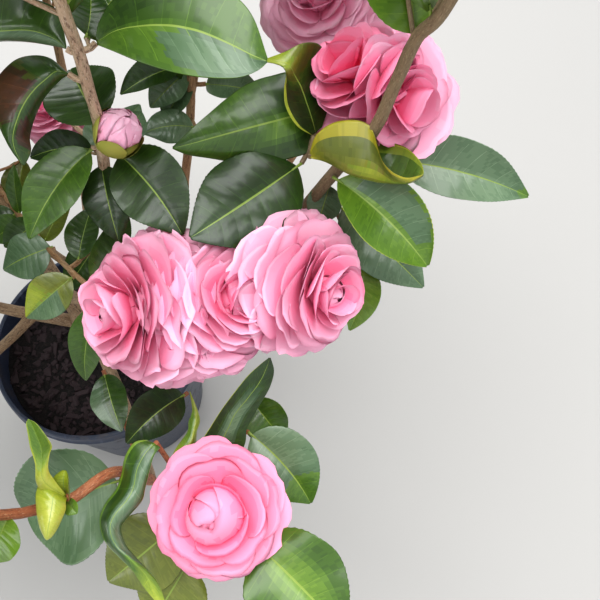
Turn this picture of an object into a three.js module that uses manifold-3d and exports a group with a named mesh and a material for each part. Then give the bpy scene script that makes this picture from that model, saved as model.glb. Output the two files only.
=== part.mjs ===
// A young camellia shrub in full bloom, growing in its round black nursery pot.
// Millimetres, +Z up. The origin is the middle of the pot's flat underside, and the ground is z = 0.
// The wood is a low-forked stem, its boughs and a leader for each mass of foliage.
// Each mass fuses one leader with its twigs, leaves, buds and blooms.
import * as THREE from 'three';
import { mergeVertices } from 'three/addons/utils/BufferGeometryUtils.js';
import Module from 'manifold-3d';

const wasm = await Module();
wasm.setup();

// Clearance between solids that touch
const GAP = 0.3;

// Pot
const POT_HEIGHT = 215;
const POT_BASE_RADIUS = 90;
const POT_SHOULDER_RADIUS = 111.5;
const POT_RIM_RADIUS = 115;
const POT_BAND_HEIGHT = 14;
const POT_RIDGE = 1.6;
const POT_LIP_WIDTH = 5;
const POT_WALL = 2;
const POT_FLOOR = 3;
const POT_SIDES = 32;
const DRAIN_COUNT = 6;
const DRAIN_RADIUS = 7;
const DRAIN_CIRCLE = 62;

// Potting soil, just under the rim
const SOIL_LEVEL = 190;
const SOIL_LUMP = 3;
const SOIL_FLAT_RADIUS = 26;
const SOIL_RINGS = [88, 56, SOIL_FLAT_RADIUS];

// Stem of the shrub, from its flat cut at the soil to its fork
const TRUNK_FLARE_RADIUS = 17;
const TRUNK_FOOT_RADIUS = 11.5;
const TRUNK_FORK_RADIUS = 9.5;
const TRUNK_FORK_HEIGHT = 268;
const TRUNK_LEAN = new THREE.Vector3(-4, 5, 0);

// Crown: every leaf of the growth rule keeps inside this rounded outline
const CROWN_CENTRE = new THREE.Vector3(20, 0, 505);
const CROWN_RADII = new THREE.Vector3(372, 340, 310);
const CROWN_ROUNDING = 3;
const CROWN_FLOOR = 262;

// Leaves, twigs, blooms and buds
const LEAF_LENGTH = 82;
const LEAF_WIDTH_SHARE = 0.5;
const LEAF_HALF_THICKNESS = 0.7;
const LEAF_SPACING = 18;
const LEAF_FOLD = 0.2;
const TWIG_LENGTH = 118;
const TWIG_ROOT_RADIUS = 2.3;
const TWIG_TIP_RADIUS = 1.4;
const STALK_RADIUS = 1.7;
const STALK_SAG = 0.08;
const STALK_OVERLAP = 1.5;
const TWIG_SIDES = 3;
const TWIG_STEPS = 2;
const NAMED_TWIG_STEPS = 7;
const LEADER_TIP_RADIUS = 1.9;
const LEADER_SIDES = 5;
const LEADER_STEPS = 8;
const BOUGH_SIDES = 8;
const BOUGH_STEPS = 7;
const TRUNK_SIDES = 12;
const TRUNK_STEPS = 8;
const BLOOM_PETALS = 6;
const BLOOM_RADIUS = 41;
const BLOOM_SPACING = 100;
const BLOOM_CLEARANCE = 4;
const BLOOM_BACK = 0.42;
const BUD_RADIUS = 12.5;
const BUD_BACK = 0.9;
const GOLDEN_ANGLE = THREE.MathUtils.degToRad(137.5);
const GROWTH_SEED = 20260;

// View of the reference picture: its eye, its tilt from straight down and its focal length
const EYE = new THREE.Vector3(230, -268, 893);
const VIEW_TILT = THREE.MathUtils.degToRad(25);
const FOCAL_PIXELS = 643;
const FRAME_PIXELS = 600;
const VIEW_RIGHT = new THREE.Vector3(1, 0, 0);
const VIEW_UP = new THREE.Vector3(0, Math.cos(VIEW_TILT), Math.sin(VIEW_TILT));
const VIEW_BACK = new THREE.Vector3(0, -Math.sin(VIEW_TILT), Math.cos(VIEW_TILT));

// The point seen at a pixel of the picture, at a reach in millimetres along the view
function seen([x, y, reach]) {
  const across = (x - FRAME_PIXELS / 2) / FOCAL_PIXELS;
  const upward = (FRAME_PIXELS / 2 - y) / FOCAL_PIXELS;
  return EYE.clone()
    .addScaledVector(VIEW_RIGHT, across * reach)
    .addScaledVector(VIEW_UP, upward * reach)
    .addScaledVector(VIEW_BACK, -reach);
}

// A direction given across, up and out of the picture
function viewed([across, upward, out]) {
  return new THREE.Vector3()
    .addScaledVector(VIEW_RIGHT, across)
    .addScaledVector(VIEW_UP, upward)
    .addScaledVector(VIEW_BACK, out);
}

// Where a point falls in the picture, with its reach
function inPicture(point) {
  const offset = point.clone().sub(EYE);
  const reach = -offset.dot(VIEW_BACK);
  const x = FRAME_PIXELS / 2 + FOCAL_PIXELS * offset.dot(VIEW_RIGHT) / reach;
  const y = FRAME_PIXELS / 2 - FOCAL_PIXELS * offset.dot(VIEW_UP) / reach;
  return { x, y, reach };
}

// Shoots: the limb that bears each one, how far along it, where the bough enters its foliage,
// the way of the leader through the foliage, and the twigs that the growth rule gives it
const at = (x, y, z) => new THREE.Vector3(x, y, z);
const SHOOTS = [
  { name: 'centre', bearer: 'trunk', share: 0.96, bough: [8.2, 5.6], twigs: 11,
    entry: at(-10, 22, 400), leader: [at(-14, 34, 590), at(-34, 44, 775)] },
  { name: 'right', bearer: 'trunk', share: 0.72, bough: [7.4, 4.6], twigs: 9,
    entry: seen([278, 240, 474]), tipRadius: 2.8,
    leader: [seen([335, 172, 410]), seen([372, 133, 374]), seen([395, 85, 340]), seen([417, 38, 308]),
      seen([450, 0, 280]), at(318, -20, 770)] },
  { name: 'tall_left', bearer: 'centre', share: 0.3, bough: [6.2, 4.2], twigs: 8,
    entry: seen([118, 290, 482]), tipRadius: 2.6,
    leader: [seen([104, 165, 402]), seen([99, 125, 374]), seen([89, 90, 347]), seen([78, 50, 318]),
      seen([60, 0, 285]), at(128, -22, 785)] },
  { name: 'front', bearer: 'trunk', share: 0.42, bough: [6.8, 4.4], twigs: 8,
    entry: at(112, -182, 372), tipRadius: 2.2,
    leader: [seen([115, 472, 412]), seen([70, 500, 384]), seen([35, 510, 364]), seen([0, 515, 345]),
      at(36, -240, 620)] },
  { name: 'left', bearer: 'trunk', share: 0.84, bough: [7.0, 4.4], twigs: 12,
    entry: at(-118, -4, 352), leader: [at(-190, -14, 520), at(-228, -12, 715)] },
  { name: 'back', bearer: 'trunk', share: 0.6, bough: [6.8, 4.4], twigs: 12,
    entry: at(10, 112, 346), leader: [at(22, 178, 520), at(26, 208, 735)] },
  { name: 'back_right', bearer: 'right', share: 0.34, bough: [5.4, 3.8], twigs: 10,
    entry: at(132, 44, 440), leader: [at(150, 72, 530), at(176, 130, 740)] },
  { name: 'back_left', bearer: 'back', share: 0.36, bough: [5.4, 3.8], twigs: 11,
    entry: at(-92, 96, 362), leader: [at(-146, 148, 520), at(-166, 170, 715)] },
  { name: 'front_left', bearer: 'left', share: 0.34, bough: [5.4, 3.8], twigs: 11,
    entry: at(-70, -92, 356), leader: [at(-112, -150, 500), at(-128, -176, 685)] },
  { name: 'far_right', bearer: 'right', share: 0.42, bough: [4.6, 3.2], twigs: 8,
    entry: at(190, 72, 372), leader: [at(252, 112, 480), at(276, 140, 640)] },
];

// Blooms and the bud that the picture shows: mass, middle, radius and the way each one faces
const BLOOMS = [
  { mass: 'front', middle: [218, 511, 395], radius: 43, face: [0.0, 0.12, 1] },
  { mass: 'centre', middle: [140, 320, 388], radius: 44, face: [-0.62, -0.05, 0.8] },
  { mass: 'centre', middle: [212, 297, 402], radius: 43, face: [0.72, 0.05, 0.62] },
  { mass: 'right', middle: [303, 292, 392], radius: 46, face: [0.72, -0.22, 0.55] },
  { mass: 'right', middle: [378, 88, 392], radius: 43, face: [-0.28, 0.1, 1] },
  { mass: 'back_right', middle: [322, 20, 432], radius: 40, face: [-0.2, -0.1, 1] },
  { mass: 'tall_left', middle: [56, 115, 462], radius: 28, face: [-0.2, 0.1, 1] },
];
const BUDS = [
  { mass: 'tall_left', middle: [115, 137, 376], radius: 13, face: [0.35, 0.12, 1] },
];

// Named twigs of the picture, each from the leader or the twig before it
const TWIGS = [
  { mass: 'centre', ends: [2.6, 1.8], path: [at(-12, 26, 470), at(0, 30, 498), seen([0, 190, 500]),
    seen([45, 245, 466]), seen([92, 290, 424])] },
  { mass: 'right', ends: [2.2, 1.6],
    path: [seen([372, 133, 376]), seen([394, 150, 430]), seen([413, 170, 462])] },
];

// Leaves of the picture: mass, root and tip in it, width in millimetres, and where needed
// the bow of the midrib (across, up, out, in millimetres) and the way the blade faces
const LEAVES = [
  { mass: 'tall_left', root: [86, 49, 322], tip: [268, 74, 316],
    width: 46, bow: [2, 15, 8], face: [0, 0.3, 1] },
  { mass: 'tall_left', root: [68, 47, 320], tip: [-20, 34, 318],
    width: 30, bow: [0, 4, 4], face: [0, 0.35, 1] },
  { mass: 'tall_left', root: [80, 86, 346], tip: [27, 165, 348],
    width: 32, bow: [-8, 12, 6], face: [-0.4, 0.2, 1] },
  { mass: 'tall_left', root: [100, 118, 372], tip: [66, 66, 378], width: 34, bow: [0, 0, 2] },
  { mass: 'tall_left', root: [94, 148, 392], tip: [29, 240, 390], width: 31, bow: [-2, 3, 4] },
  { mass: 'tall_left', root: [103, 160, 402], tip: [120, 243, 404], width: 29, bow: [0, 0, 4] },
  { mass: 'tall_left', root: [116, 152, 396], tip: [183, 236, 392], width: 38, bow: [3, 2, 4] },
  { mass: 'tall_left', root: [96, 150, 404], tip: [30, 158, 412], width: 22, bow: [0, 3, 2] },
  { mass: 'tall_left', root: [108, 152, 424], tip: [140, 104, 446], width: 22 },
  { mass: 'right', root: [314, 141, 404], tip: [172, 150, 386],
    width: 38, bow: [0, 5, 6], face: [0.1, 0.3, 1] },
  { mass: 'right', root: [302, 165, 408], tip: [190, 240, 370], width: 44, bow: [0, -2, 5] },
  { mass: 'right', root: [326, 166, 392], tip: [424, 176, 372],
    width: 31, bow: [2, 6, 12], face: [0.1, 0.5, 1] },
  { mass: 'right', root: [336, 180, 404], tip: [432, 268, 396], width: 40, bow: [2, 2, 6] },
  { mass: 'right', root: [314, 137, 398], tip: [262, 60, 380],
    width: 15, bow: [6, 4, 6], face: [1, -0.4, 0.8] },
  { mass: 'right', root: [416, 172, 462], tip: [528, 190, 468], width: 38, bow: [0, 4, 5] },
  { mass: 'right', root: [338, 205, 474], tip: [424, 288, 472], width: 42, bow: [0, 0, 4] },
  { mass: 'right', root: [340, 255, 478], tip: [350, 330, 478], width: 26, bow: [4, 0, 3] },
  { mass: 'right', root: [416, 40, 312], tip: [392, -90, 300], width: 40, bow: [0, 0, 6] },
  { mass: 'back_right', root: [182, 66, 458], tip: [120, 95, 448], width: 24, bow: [0, 2, 3] },
  { mass: 'back_right', root: [190, 78, 476], tip: [164, 122, 478], width: 22 },
  { mass: 'back_right', root: [196, 128, 478], tip: [142, 134, 462], width: 24, bow: [0, 3, 2] },
  { mass: 'back_right', root: [204, 84, 478], tip: [262, 92, 470], width: 26 },
  { mass: 'centre', root: [52, 250, 462], tip: [3, 264, 466], width: 24, bow: [0, 1, 3] },
  { mass: 'centre', root: [74, 276, 446], tip: [26, 318, 452], width: 28, bow: [0, 0, 3] },
  { mass: 'centre', root: [96, 300, 440], tip: [84, 380, 470], width: 26, bow: [-3, 0, 3] },
  { mass: 'centre', root: [78, 262, 444], tip: [92, 206, 452], width: 22 },
  { mass: 'centre', root: [90, 284, 430], tip: [128, 214, 446], width: 22, bow: [3, 0, 2] },
  { mass: 'centre', root: [44, 243, 466], tip: [72, 192, 462], width: 20 },
  { mass: 'centre', root: [18, 214, 488], tip: [-30, 226, 486], width: 20 },
  { mass: 'centre', root: [20, 216, 488], tip: [14, 164, 470], width: 12 },
  { mass: 'front', root: [104, 372, 512], tip: [122, 432, 498], width: 28 },
  { mass: 'front', root: [186, 394, 492], tip: [126, 444, 476], width: 34, bow: [0, 4, 4] },
  { mass: 'front', root: [170, 466, 428], tip: [189, 390, 440], width: 13, bow: [4, 0, 0] },
  { mass: 'front', root: [203, 452, 432], tip: [274, 366, 412],
    width: 30, bow: [-2, 4, 4], face: [0.5, -0.5, 1] },
  { mass: 'front', root: [240, 402, 462], tip: [290, 438, 466], width: 26 },
  { mass: 'front', root: [246, 440, 444], tip: [308, 504, 444], width: 34, bow: [4, 2, 3] },
  { mass: 'front', root: [246, 532, 418], tip: [352, 614, 404], width: 50, bow: [2, 2, 5] },
  { mass: 'front', root: [118, 474, 420], tip: [18, 542, 426], width: 56, bow: [-2, 2, 6] },
  { mass: 'front', root: [162, 448, 412], tip: [160, 604, 398],
    width: 27, bow: [-10, 2, 6], face: [-0.7, 0, 1] },
  { mass: 'front', root: [48, 505, 370], tip: [27, 420, 340],
    width: 13, bow: [2, 0, 2], face: [0.6, 0.2, 1] },
  { mass: 'front', root: [46, 508, 372], tip: [46, 541, 352], width: 17, bow: [0, -2, 6] },
  { mass: 'front', root: [10, 514, 352], tip: [-8, 562, 352], width: 26 },
  { mass: 'front', root: [186, 524, 436], tip: [112, 584, 440], width: 42 },
];

// Seeded chance, the same on every run
let seed = GROWTH_SEED;
function chance() {
  seed = (seed * 1664525 + 1013904223) % 4294967296;
  return seed / 4294967296;
}

// A closed solid from shared vertices and triangles of their numbers
function solidFrom(points, triangles) {
  const vertProperties = new Float32Array(points.flatMap((point) => point.toArray()));
  const triVerts = new Uint32Array(triangles);
  return new wasm.Manifold(new wasm.Mesh({ numProp: 3, vertProperties, triVerts }));
}

// A closed solid from a geometry of the library, once its shared vertices are merged
function solidOf(geometry) {
  const bare = geometry.clone();
  bare.deleteAttribute('normal');
  bare.deleteAttribute('uv');
  const merged = mergeVertices(bare, 1e-4);
  const vertProperties = new Float32Array(merged.getAttribute('position').array);
  const triVerts = new Uint32Array(merged.index.array);
  return new wasm.Manifold(new wasm.Mesh({ numProp: 3, vertProperties, triVerts }));
}

// The outer skin of a solid's largest lump, so that loose scraps, slivers and sealed hollows go
const MENDED_BY = 0.1;
function mainLump(solid) {
  const lumps = solid.asOriginal().simplify(MENDED_BY).decompose();
  return lumps.reduce((best, lump) => (lump.volume() > best.volume() ? lump : best));
}

// True where each edge of a solid's outer skin joins just two triangles, once its corners are rounded
function isSound(solid, digits) {
  const { triVerts, vertProperties, numProp } = mainLump(solid).getMesh();
  const rounded = (value) => value.toFixed(digits);
  const place = (vertex) => vertProperties.subarray(vertex * numProp, vertex * numProp + 3);
  const corners = Array.from(triVerts, (vertex) => Array.from(place(vertex), rounded).join());
  const uses = new Map();
  for (const [index, start] of corners.entries()) {
    const end = corners[index % 3 === 2 ? index - 2 : index + 1];
    const edge = start < end ? `${start} ${end}` : `${end} ${start}`;
    uses.set(edge, (uses.get(edge) ?? 0) + 1);
  }
  return [...uses.values()].every((count) => count === 2);
}

// The geometry of a solid, for a mesh
function geometryOf(solid) {
  const mesh = solid.getMesh();
  const geometry = new THREE.BufferGeometry();
  geometry.setAttribute('position', new THREE.BufferAttribute(new Float32Array(mesh.vertProperties), 3));
  geometry.setIndex(new THREE.BufferAttribute(new Uint32Array(mesh.triVerts), 1));
  geometry.computeVertexNormals();
  return geometry;
}

// A tapering limb: a closed cylinder bent along a curve
function limbSolid(curve, radiusAt, sides, steps) {
  const geometry = new THREE.CylinderGeometry(1, 1, 1, sides, steps);
  const frames = curve.computeFrenetFrames(steps);
  const position = geometry.getAttribute('position');
  for (let i = 0; i < position.count; i += 1) {
    const step = Math.round((position.getY(i) + 0.5) * steps);
    const radius = radiusAt(step / steps);
    const point = curve.getPointAt(step / steps)
      .addScaledVector(frames.normals[step], position.getX(i) * radius)
      .addScaledVector(frames.binormals[step], -position.getZ(i) * radius);
    position.setXYZ(i, point.x, point.y, point.z);
  }
  return solidOf(geometry);
}

// Even taper from one radius to another
const taper = (root, tip) => (share) => THREE.MathUtils.lerp(root, tip, share);

// A smooth curve through points
const smooth = (points) => new THREE.CatmullRomCurve3(points, false, 'catmullrom', 0.5);

// A leaf: its midrib is a bowed line from root to tip, and its blade faces one way
function makeLeaf(mass, root, tip, bow, face, width) {
  const middle = root.clone().lerp(tip, 0.5).addScaledVector(bow, 2);
  return { mass, width, face, midrib: new THREE.QuadraticBezierCurve3(root, middle, tip) };
}

// Half the blade's width along the midrib, as a share of its full half width
const bladeWidth = (share) => Math.pow(Math.sin(Math.PI * Math.pow(share, 0.86)), 0.8);

// Axes of a leaf at one place: along, across to the right, and out of its upper face
function leafAxes(leaf, share) {
  const along = leaf.midrib.getTangent(share);
  const across = along.clone().cross(leaf.face).normalize();
  return { along, across, upper: across.clone().cross(along) };
}

// A point of the blade: side is -1 at the left edge, 0 on the midrib and 1 at the right edge
function bladePoint(leaf, share, side, lift) {
  const { across, upper } = leafAxes(leaf, share);
  const reach = 0.5 * leaf.width * bladeWidth(share) * side;
  return leaf.midrib.getPoint(share)
    .addScaledVector(across, reach)
    .addScaledVector(upper, Math.abs(reach) * LEAF_FOLD + lift);
}

// The solid of a leaf: lens-shaped sections between a root sunk in its twig and a pointed tip
const NAMED_LEAF_SECTIONS = [0.27, 0.68];
const RULE_LEAF_SECTIONS = [0.42];
const LEAF_SINK = 1.6;
function leafSolid(leaf) {
  const sections = leaf.named ? NAMED_LEAF_SECTIONS : RULE_LEAF_SECTIONS;
  const points = [leaf.midrib.getPoint(0).addScaledVector(leaf.midrib.getTangent(0), -LEAF_SINK)];
  for (const share of sections) {
    points.push(bladePoint(leaf, share, -1, 0), bladePoint(leaf, share, 0, LEAF_HALF_THICKNESS));
    points.push(bladePoint(leaf, share, 1, 0), bladePoint(leaf, share, 0, -LEAF_HALF_THICKNESS));
  }
  const tip = points.push(leaf.midrib.getPoint(1)) - 1;
  const triangles = [0, 2, 1, 0, 3, 2, 0, 4, 3, 0, 1, 4];
  for (let section = 0; section < sections.length; section += 1) {
    const here = 1 + section * 4;
    const last = section === sections.length - 1;
    for (let corner = 0; corner < 4; corner += 1) {
      const a = here + corner;
      const b = here + ((corner + 1) % 4);
      if (last) triangles.push(a, b, tip);
      else triangles.push(a, b, b + 4, a, b + 4, a + 4);
    }
  }
  return solidFrom(points, triangles);
}

// A round body of rings about an axis, from a pole at its back to a pole at its front;
// each ring gives its radius, its height along the axis and how deep its petal lobes are cut
function ringedSolid(middle, axis, rings, backHeight, frontHeight, petals) {
  const spread = new THREE.Quaternion().setFromUnitVectors(new THREE.Vector3(0, 0, 1), axis);
  const place = (x, y, z) => new THREE.Vector3(x, y, z).applyQuaternion(spread).add(middle);
  const corners = petals * 2;
  const points = [place(0, 0, backHeight)];
  for (const ring of rings) {
    for (let corner = 0; corner < corners; corner += 1) {
      const angle = Math.PI * (corner + ring.turn) / petals;
      const radius = ring.radius * (corner % 2 ? 1 - ring.lobe : 1);
      points.push(place(Math.cos(angle) * radius, Math.sin(angle) * radius, ring.height));
    }
  }
  const front = points.push(place(0, 0, frontHeight)) - 1;
  const triangles = [];
  for (let corner = 0; corner < corners; corner += 1) {
    const next = (corner + 1) % corners;
    triangles.push(0, 1 + next, 1 + corner);
    for (let ring = 0; ring < rings.length - 1; ring += 1) {
      const low = 1 + ring * corners;
      const high = low + corners;
      triangles.push(low + corner, low + next, high + next, low + corner, high + next, high + corner);
    }
    const last = 1 + (rings.length - 1) * corners;
    triangles.push(last + corner, last + next, front);
  }
  return solidFrom(points, triangles);
}

// A double bloom: a domed rosette with a lobed rim and a raised heart
function bloomSolid(bloom) {
  const r = bloom.radius;
  const rings = [
    { radius: 0.5 * r, height: -0.34 * r, lobe: 0, turn: 0 },
    { radius: r, height: -0.08 * r, lobe: 0.14, turn: 0 },
    { radius: 0.76 * r, height: 0.28 * r, lobe: 0.12, turn: 0.5 },
    { radius: 0.36 * r, height: 0.42 * r, lobe: 0.1, turn: 0 },
  ];
  return ringedSolid(bloom.middle, bloom.face, rings, -0.46 * r, 0.46 * r, BLOOM_PETALS);
}

// A fat bud, wider than high, with the scales at its back
function budSolid(bud) {
  const r = bud.radius;
  const rings = [
    { radius: 0.72 * r, height: -0.66 * r, lobe: 0, turn: 0 },
    { radius: r, height: 0.06 * r, lobe: 0.03, turn: 0 },
    { radius: 0.6 * r, height: 0.82 * r, lobe: 0.05, turn: 0.5 },
  ];
  return ringedSolid(bud.middle, bud.face, rings, -1.0 * r, 1.02 * r, 4);
}

// The bough's line: it leaves its bearer low and then climbs
function boughCurve(from, to) {
  const bend = new THREE.Vector3(
    THREE.MathUtils.lerp(from.x, to.x, 0.6),
    THREE.MathUtils.lerp(from.y, to.y, 0.6),
    THREE.MathUtils.lerp(from.z, to.z, 0.36),
  );
  return new THREE.QuadraticBezierCurve3(from, bend, to);
}

// The trunk starts below the soil and is then cut off flat
const TRUNK_OFFCUT = 8;
const trunkCurve = smooth([
  at(0, 0, SOIL_LEVEL - TRUNK_OFFCUT),
  at(TRUNK_LEAN.x * 0.4, TRUNK_LEAN.y * 0.4, THREE.MathUtils.lerp(SOIL_LEVEL, TRUNK_FORK_HEIGHT, 0.5)),
  at(TRUNK_LEAN.x, TRUNK_LEAN.y, TRUNK_FORK_HEIGHT),
]);

// Root flare at the foot, then an even taper up to the fork
function trunkRadius(share) {
  const flare = (TRUNK_FLARE_RADIUS - TRUNK_FOOT_RADIUS) * Math.exp(-share * 9);
  return THREE.MathUtils.lerp(TRUNK_FOOT_RADIUS, TRUNK_FORK_RADIUS, share) + flare;
}

// The trunk and the boughs; each bough is cut clear of the limbs made before it
function growLimbs() {
  const limbs = new Map();
  const fat = (curve, radiusAt, ...grid) => limbSolid(curve, (share) => radiusAt(share) + GAP, ...grid);
  const uncut = limbSolid(trunkCurve, trunkRadius, TRUNK_SIDES, TRUNK_STEPS);
  limbs.set('trunk', {
    curve: trunkCurve,
    solid: mainLump(uncut.trimByPlane([0, 0, 1], SOIL_LEVEL + GAP)),
    clearance: fat(trunkCurve, trunkRadius, TRUNK_SIDES, TRUNK_STEPS),
  });
  for (const shoot of SHOOTS) {
    const bearer = limbs.get(shoot.bearer);
    const curve = boughCurve(bearer.curve.getPointAt(shoot.share), shoot.entry);
    const radiusAt = taper(shoot.bough[0], shoot.bough[1]);
    let solid = limbSolid(curve, radiusAt, BOUGH_SIDES, BOUGH_STEPS);
    for (const other of limbs.values()) solid = solid.subtract(other.clearance);
    const clearance = fat(curve, radiusAt, BOUGH_SIDES, BOUGH_STEPS);
    limbs.set(shoot.name, { curve, solid: mainLump(solid), clearance });
  }
  return limbs;
}

// The leader of a mass runs on from its bough and is cut flat just clear of the bough's tip
const leaderCurve = (shoot) => smooth([shoot.entry, ...shoot.leader]);

function leaderSolid(shoot) {
  const line = limbs.get(shoot.name).curve.getTangent(1);
  const leader = wood.get(shoot.name)[0];
  return limbSolid(leader.curve, taper(leader.rootRadius, leader.tipRadius), LEADER_SIDES, LEADER_STEPS)
    .trimByPlane(line.toArray(), line.dot(shoot.entry) + GAP);
}

// Points for tests on a leaf: its middle, both edges, outer third and tip
function leafSamples(leaf) {
  return [bladePoint(leaf, 0.5, 0, 0), bladePoint(leaf, 0.55, -0.8, 0), bladePoint(leaf, 0.55, 0.8, 0),
    bladePoint(leaf, 0.78, 0, 0), bladePoint(leaf, 1, 0, 0)];
}

// Points for tests on a bloom: its middle, its front and four places on its rim
function bloomSamples(bloom) {
  const across = bloom.face.clone().cross(at(0.3, 0.9, 0.1)).normalize();
  const over = across.clone().cross(bloom.face);
  const rim = [[1, 0], [-1, 0], [0, 1], [0, -1]].map(([a, b]) => bloom.middle.clone()
    .addScaledVector(across, a * bloom.radius).addScaledVector(over, b * bloom.radius));
  return [bloom.middle, bloom.middle.clone().addScaledVector(bloom.face, 0.4 * bloom.radius), ...rim];
}

// What the picture shows stands as discs, so that the growth rule can hide behind it
const LEAF_SCREENS = [0.35, 0.6];
const SCREEN_DEPTH = 8;
const screens = [];
function addScreen(middle, radius) {
  const spot = inPicture(middle);
  screens.push({ x: spot.x, y: spot.y, reach: spot.reach, radius: radius * FOCAL_PIXELS / spot.reach });
}

// True where a point is outside the picture, or stands behind what the picture shows
const FRAME_MARGIN = 8;
function unseen(point) {
  const spot = inPicture(point);
  const low = -FRAME_MARGIN;
  const high = FRAME_PIXELS + FRAME_MARGIN;
  if (spot.reach <= 0 || spot.x < low || spot.x > high || spot.y < low || spot.y > high) return true;
  return screens.some((screen) => spot.reach > screen.reach + SCREEN_DEPTH
    && Math.hypot(spot.x - screen.x, spot.y - screen.y) < screen.radius);
}

// Distance from a point to a straight line between two points
function distanceToLine(point, from, to) {
  return new THREE.Line3(from, to).closestPointToPoint(point, true, new THREE.Vector3()).distanceTo(point);
}

// A mass keeps the points that are nearer to its own leader than to any other
function nearestMass(point) {
  let best = null;
  let least = Infinity;
  for (const shoot of SHOOTS) {
    const distance = distanceToLine(point, shoot.entry, shoot.leader[shoot.leader.length - 1]);
    if (distance < least) {
      least = distance;
      best = shoot.name;
    }
  }
  return best;
}

// Inside the crown's rounded outline and above its lowest leaves
function insideCrown(point) {
  const offset = point.clone().sub(CROWN_CENTRE).divide(CROWN_RADII).toArray();
  const spread = offset.reduce((sum, part) => sum + Math.abs(part) ** CROWN_ROUNDING, 0);
  return spread < 1 && point.z > CROWN_FLOOR;
}

const ownSpace = (mass) => (point) => nearestMass(point) === mass && insideCrown(point) && unseen(point);

// Everything that grows, by mass
const wood = new Map(SHOOTS.map((shoot) => [shoot.name, []]));
const leaves = [];
const blooms = [];
const buds = [];

// Far enough from the leaves and blooms that grew before it
const clearOfLeaves = (points, distance) => leaves.every((leaf) => leaf.samples.every(
  (sample) => points.every((point) => point.distanceTo(sample) > distance)));
const clearOfBlooms = (points, distance) => blooms.every((bloom) => points.every(
  (point) => bloom.middle.distanceTo(point) > bloom.radius + distance));

// A leaf joins the crown with the points that later growth keeps away from
function keepLeaf(leaf) {
  leaf.samples = leafSamples(leaf);
  leaves.push(leaf);
}

// Twigs are three-sided; a stalk joins a named leaf, bloom or bud to the nearest wood
function addWood(mass, points, rootRadius, tipRadius, steps) {
  wood.get(mass).push({ curve: smooth(points), rootRadius, tipRadius, steps });
}

function nearestWood(mass, point) {
  let best = null;
  for (const limb of wood.get(mass)) {
    for (let i = 0; i <= 24; i += 1) {
      const spot = limb.curve.getPoint(i / 24);
      if (!best || spot.distanceTo(point) < best.distanceTo(point)) best = spot;
    }
  }
  return best;
}

function addStalk(mass, end) {
  const start = nearestWood(mass, end);
  const length = start.distanceTo(end);
  if (length < 2) return;
  const bend = start.clone().lerp(end, 0.55).add(at(0, 0, -STALK_SAG * length));
  const far = end.clone().addScaledVector(end.clone().sub(bend).normalize(), STALK_OVERLAP);
  addWood(mass, [start, bend, far], STALK_RADIUS + 0.004 * length, STALK_RADIUS, TWIG_STEPS);
}

// A bloom or bud of the picture, at its place in the crown
const placed = ({ mass, middle, radius, face }) => ({
  mass, middle: seen(middle), radius, face: viewed(face).normalize(),
});

// Named growth first, from the picture
function growNamed() {
  for (const twig of TWIGS) addWood(twig.mass, twig.path, twig.ends[0], twig.ends[1], NAMED_TWIG_STEPS);
  for (const entry of BLOOMS) {
    const bloom = placed(entry);
    addStalk(bloom.mass, bloom.middle.clone().addScaledVector(bloom.face, -BLOOM_BACK * bloom.radius));
    addScreen(bloom.middle, 0.9 * bloom.radius);
    blooms.push(bloom);
  }
  for (const entry of BUDS) {
    const bud = placed(entry);
    addStalk(bud.mass, bud.middle.clone().addScaledVector(bud.face, -BUD_BACK * bud.radius));
    addScreen(bud.middle, 0.8 * bud.radius);
    buds.push(bud);
  }
  for (const entry of LEAVES) {
    const leaf = makeLeaf(entry.mass, seen(entry.root), seen(entry.tip), viewed(entry.bow ?? [0, 0, 3]),
      viewed(entry.face ?? [0, 0, 1]), entry.width);
    addStalk(leaf.mass, leaf.midrib.getPoint(0));
    leaf.named = true;
    for (const share of LEAF_SCREENS) addScreen(leaf.midrib.getPoint(share), 0.42 * leaf.width);
    keepLeaf(leaf);
  }
}

// One leaf of the rule, set on a twig and turned about it
function growLeaf(mass, curve, share, turn, size) {
  const root = curve.getPoint(share);
  const along = curve.getTangent(share);
  const side = along.clone().cross(at(0, 0, 1)).normalize();
  const over = side.clone().cross(along);
  const around = side.multiplyScalar(Math.cos(turn)).addScaledVector(over, 0.55 * Math.sin(turn) + 0.1);
  const heading = along.clone().multiplyScalar(0.75).add(around).normalize();
  const length = LEAF_LENGTH * size * (0.82 + 0.36 * chance());
  const tip = root.clone().addScaledVector(heading, length).add(at(0, 0, -0.12 * length));
  const face = at(0.5 * (chance() - 0.5), 0.5 * (chance() - 0.5), 1).addScaledVector(along, 0.25);
  const leaf = makeLeaf(mass, root, tip, at(0, 0, 0.07 * length), face, length * LEAF_WIDTH_SHARE);
  const fits = ownSpace(mass);
  const samples = leafSamples(leaf);
  const inner = [0.2, 0.35].flatMap((place) => [-1, 1].map((edge) => bladePoint(leaf, place, edge, 0)));
  if (!samples.every(fits) || !inner.every(unseen)) return null;
  if (!clearOfLeaves(samples, LEAF_SPACING) || !clearOfBlooms(samples, BLOOM_CLEARANCE)) return null;
  keepLeaf(leaf);
  return leaf;
}

// Leaves that stand on the leader itself, in its upper part
const LEAF_GAP = 15;
const BARE_SHARE = 0.4;
const LEADER_LEAF_SIZE = 0.9;
function growLeaderLeaves(shoot, leader) {
  const count = Math.round((1 - BARE_SHARE) * leader.getLength() / LEAF_GAP);
  const phase = chance() * Math.PI * 2;
  for (let i = 0; i < count; i += 1) {
    const share = THREE.MathUtils.lerp(BARE_SHARE, 1, i / (count - 1));
    growLeaf(shoot.name, leader, share, phase + i * GOLDEN_ANGLE, LEADER_LEAF_SIZE);
  }
}

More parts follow.
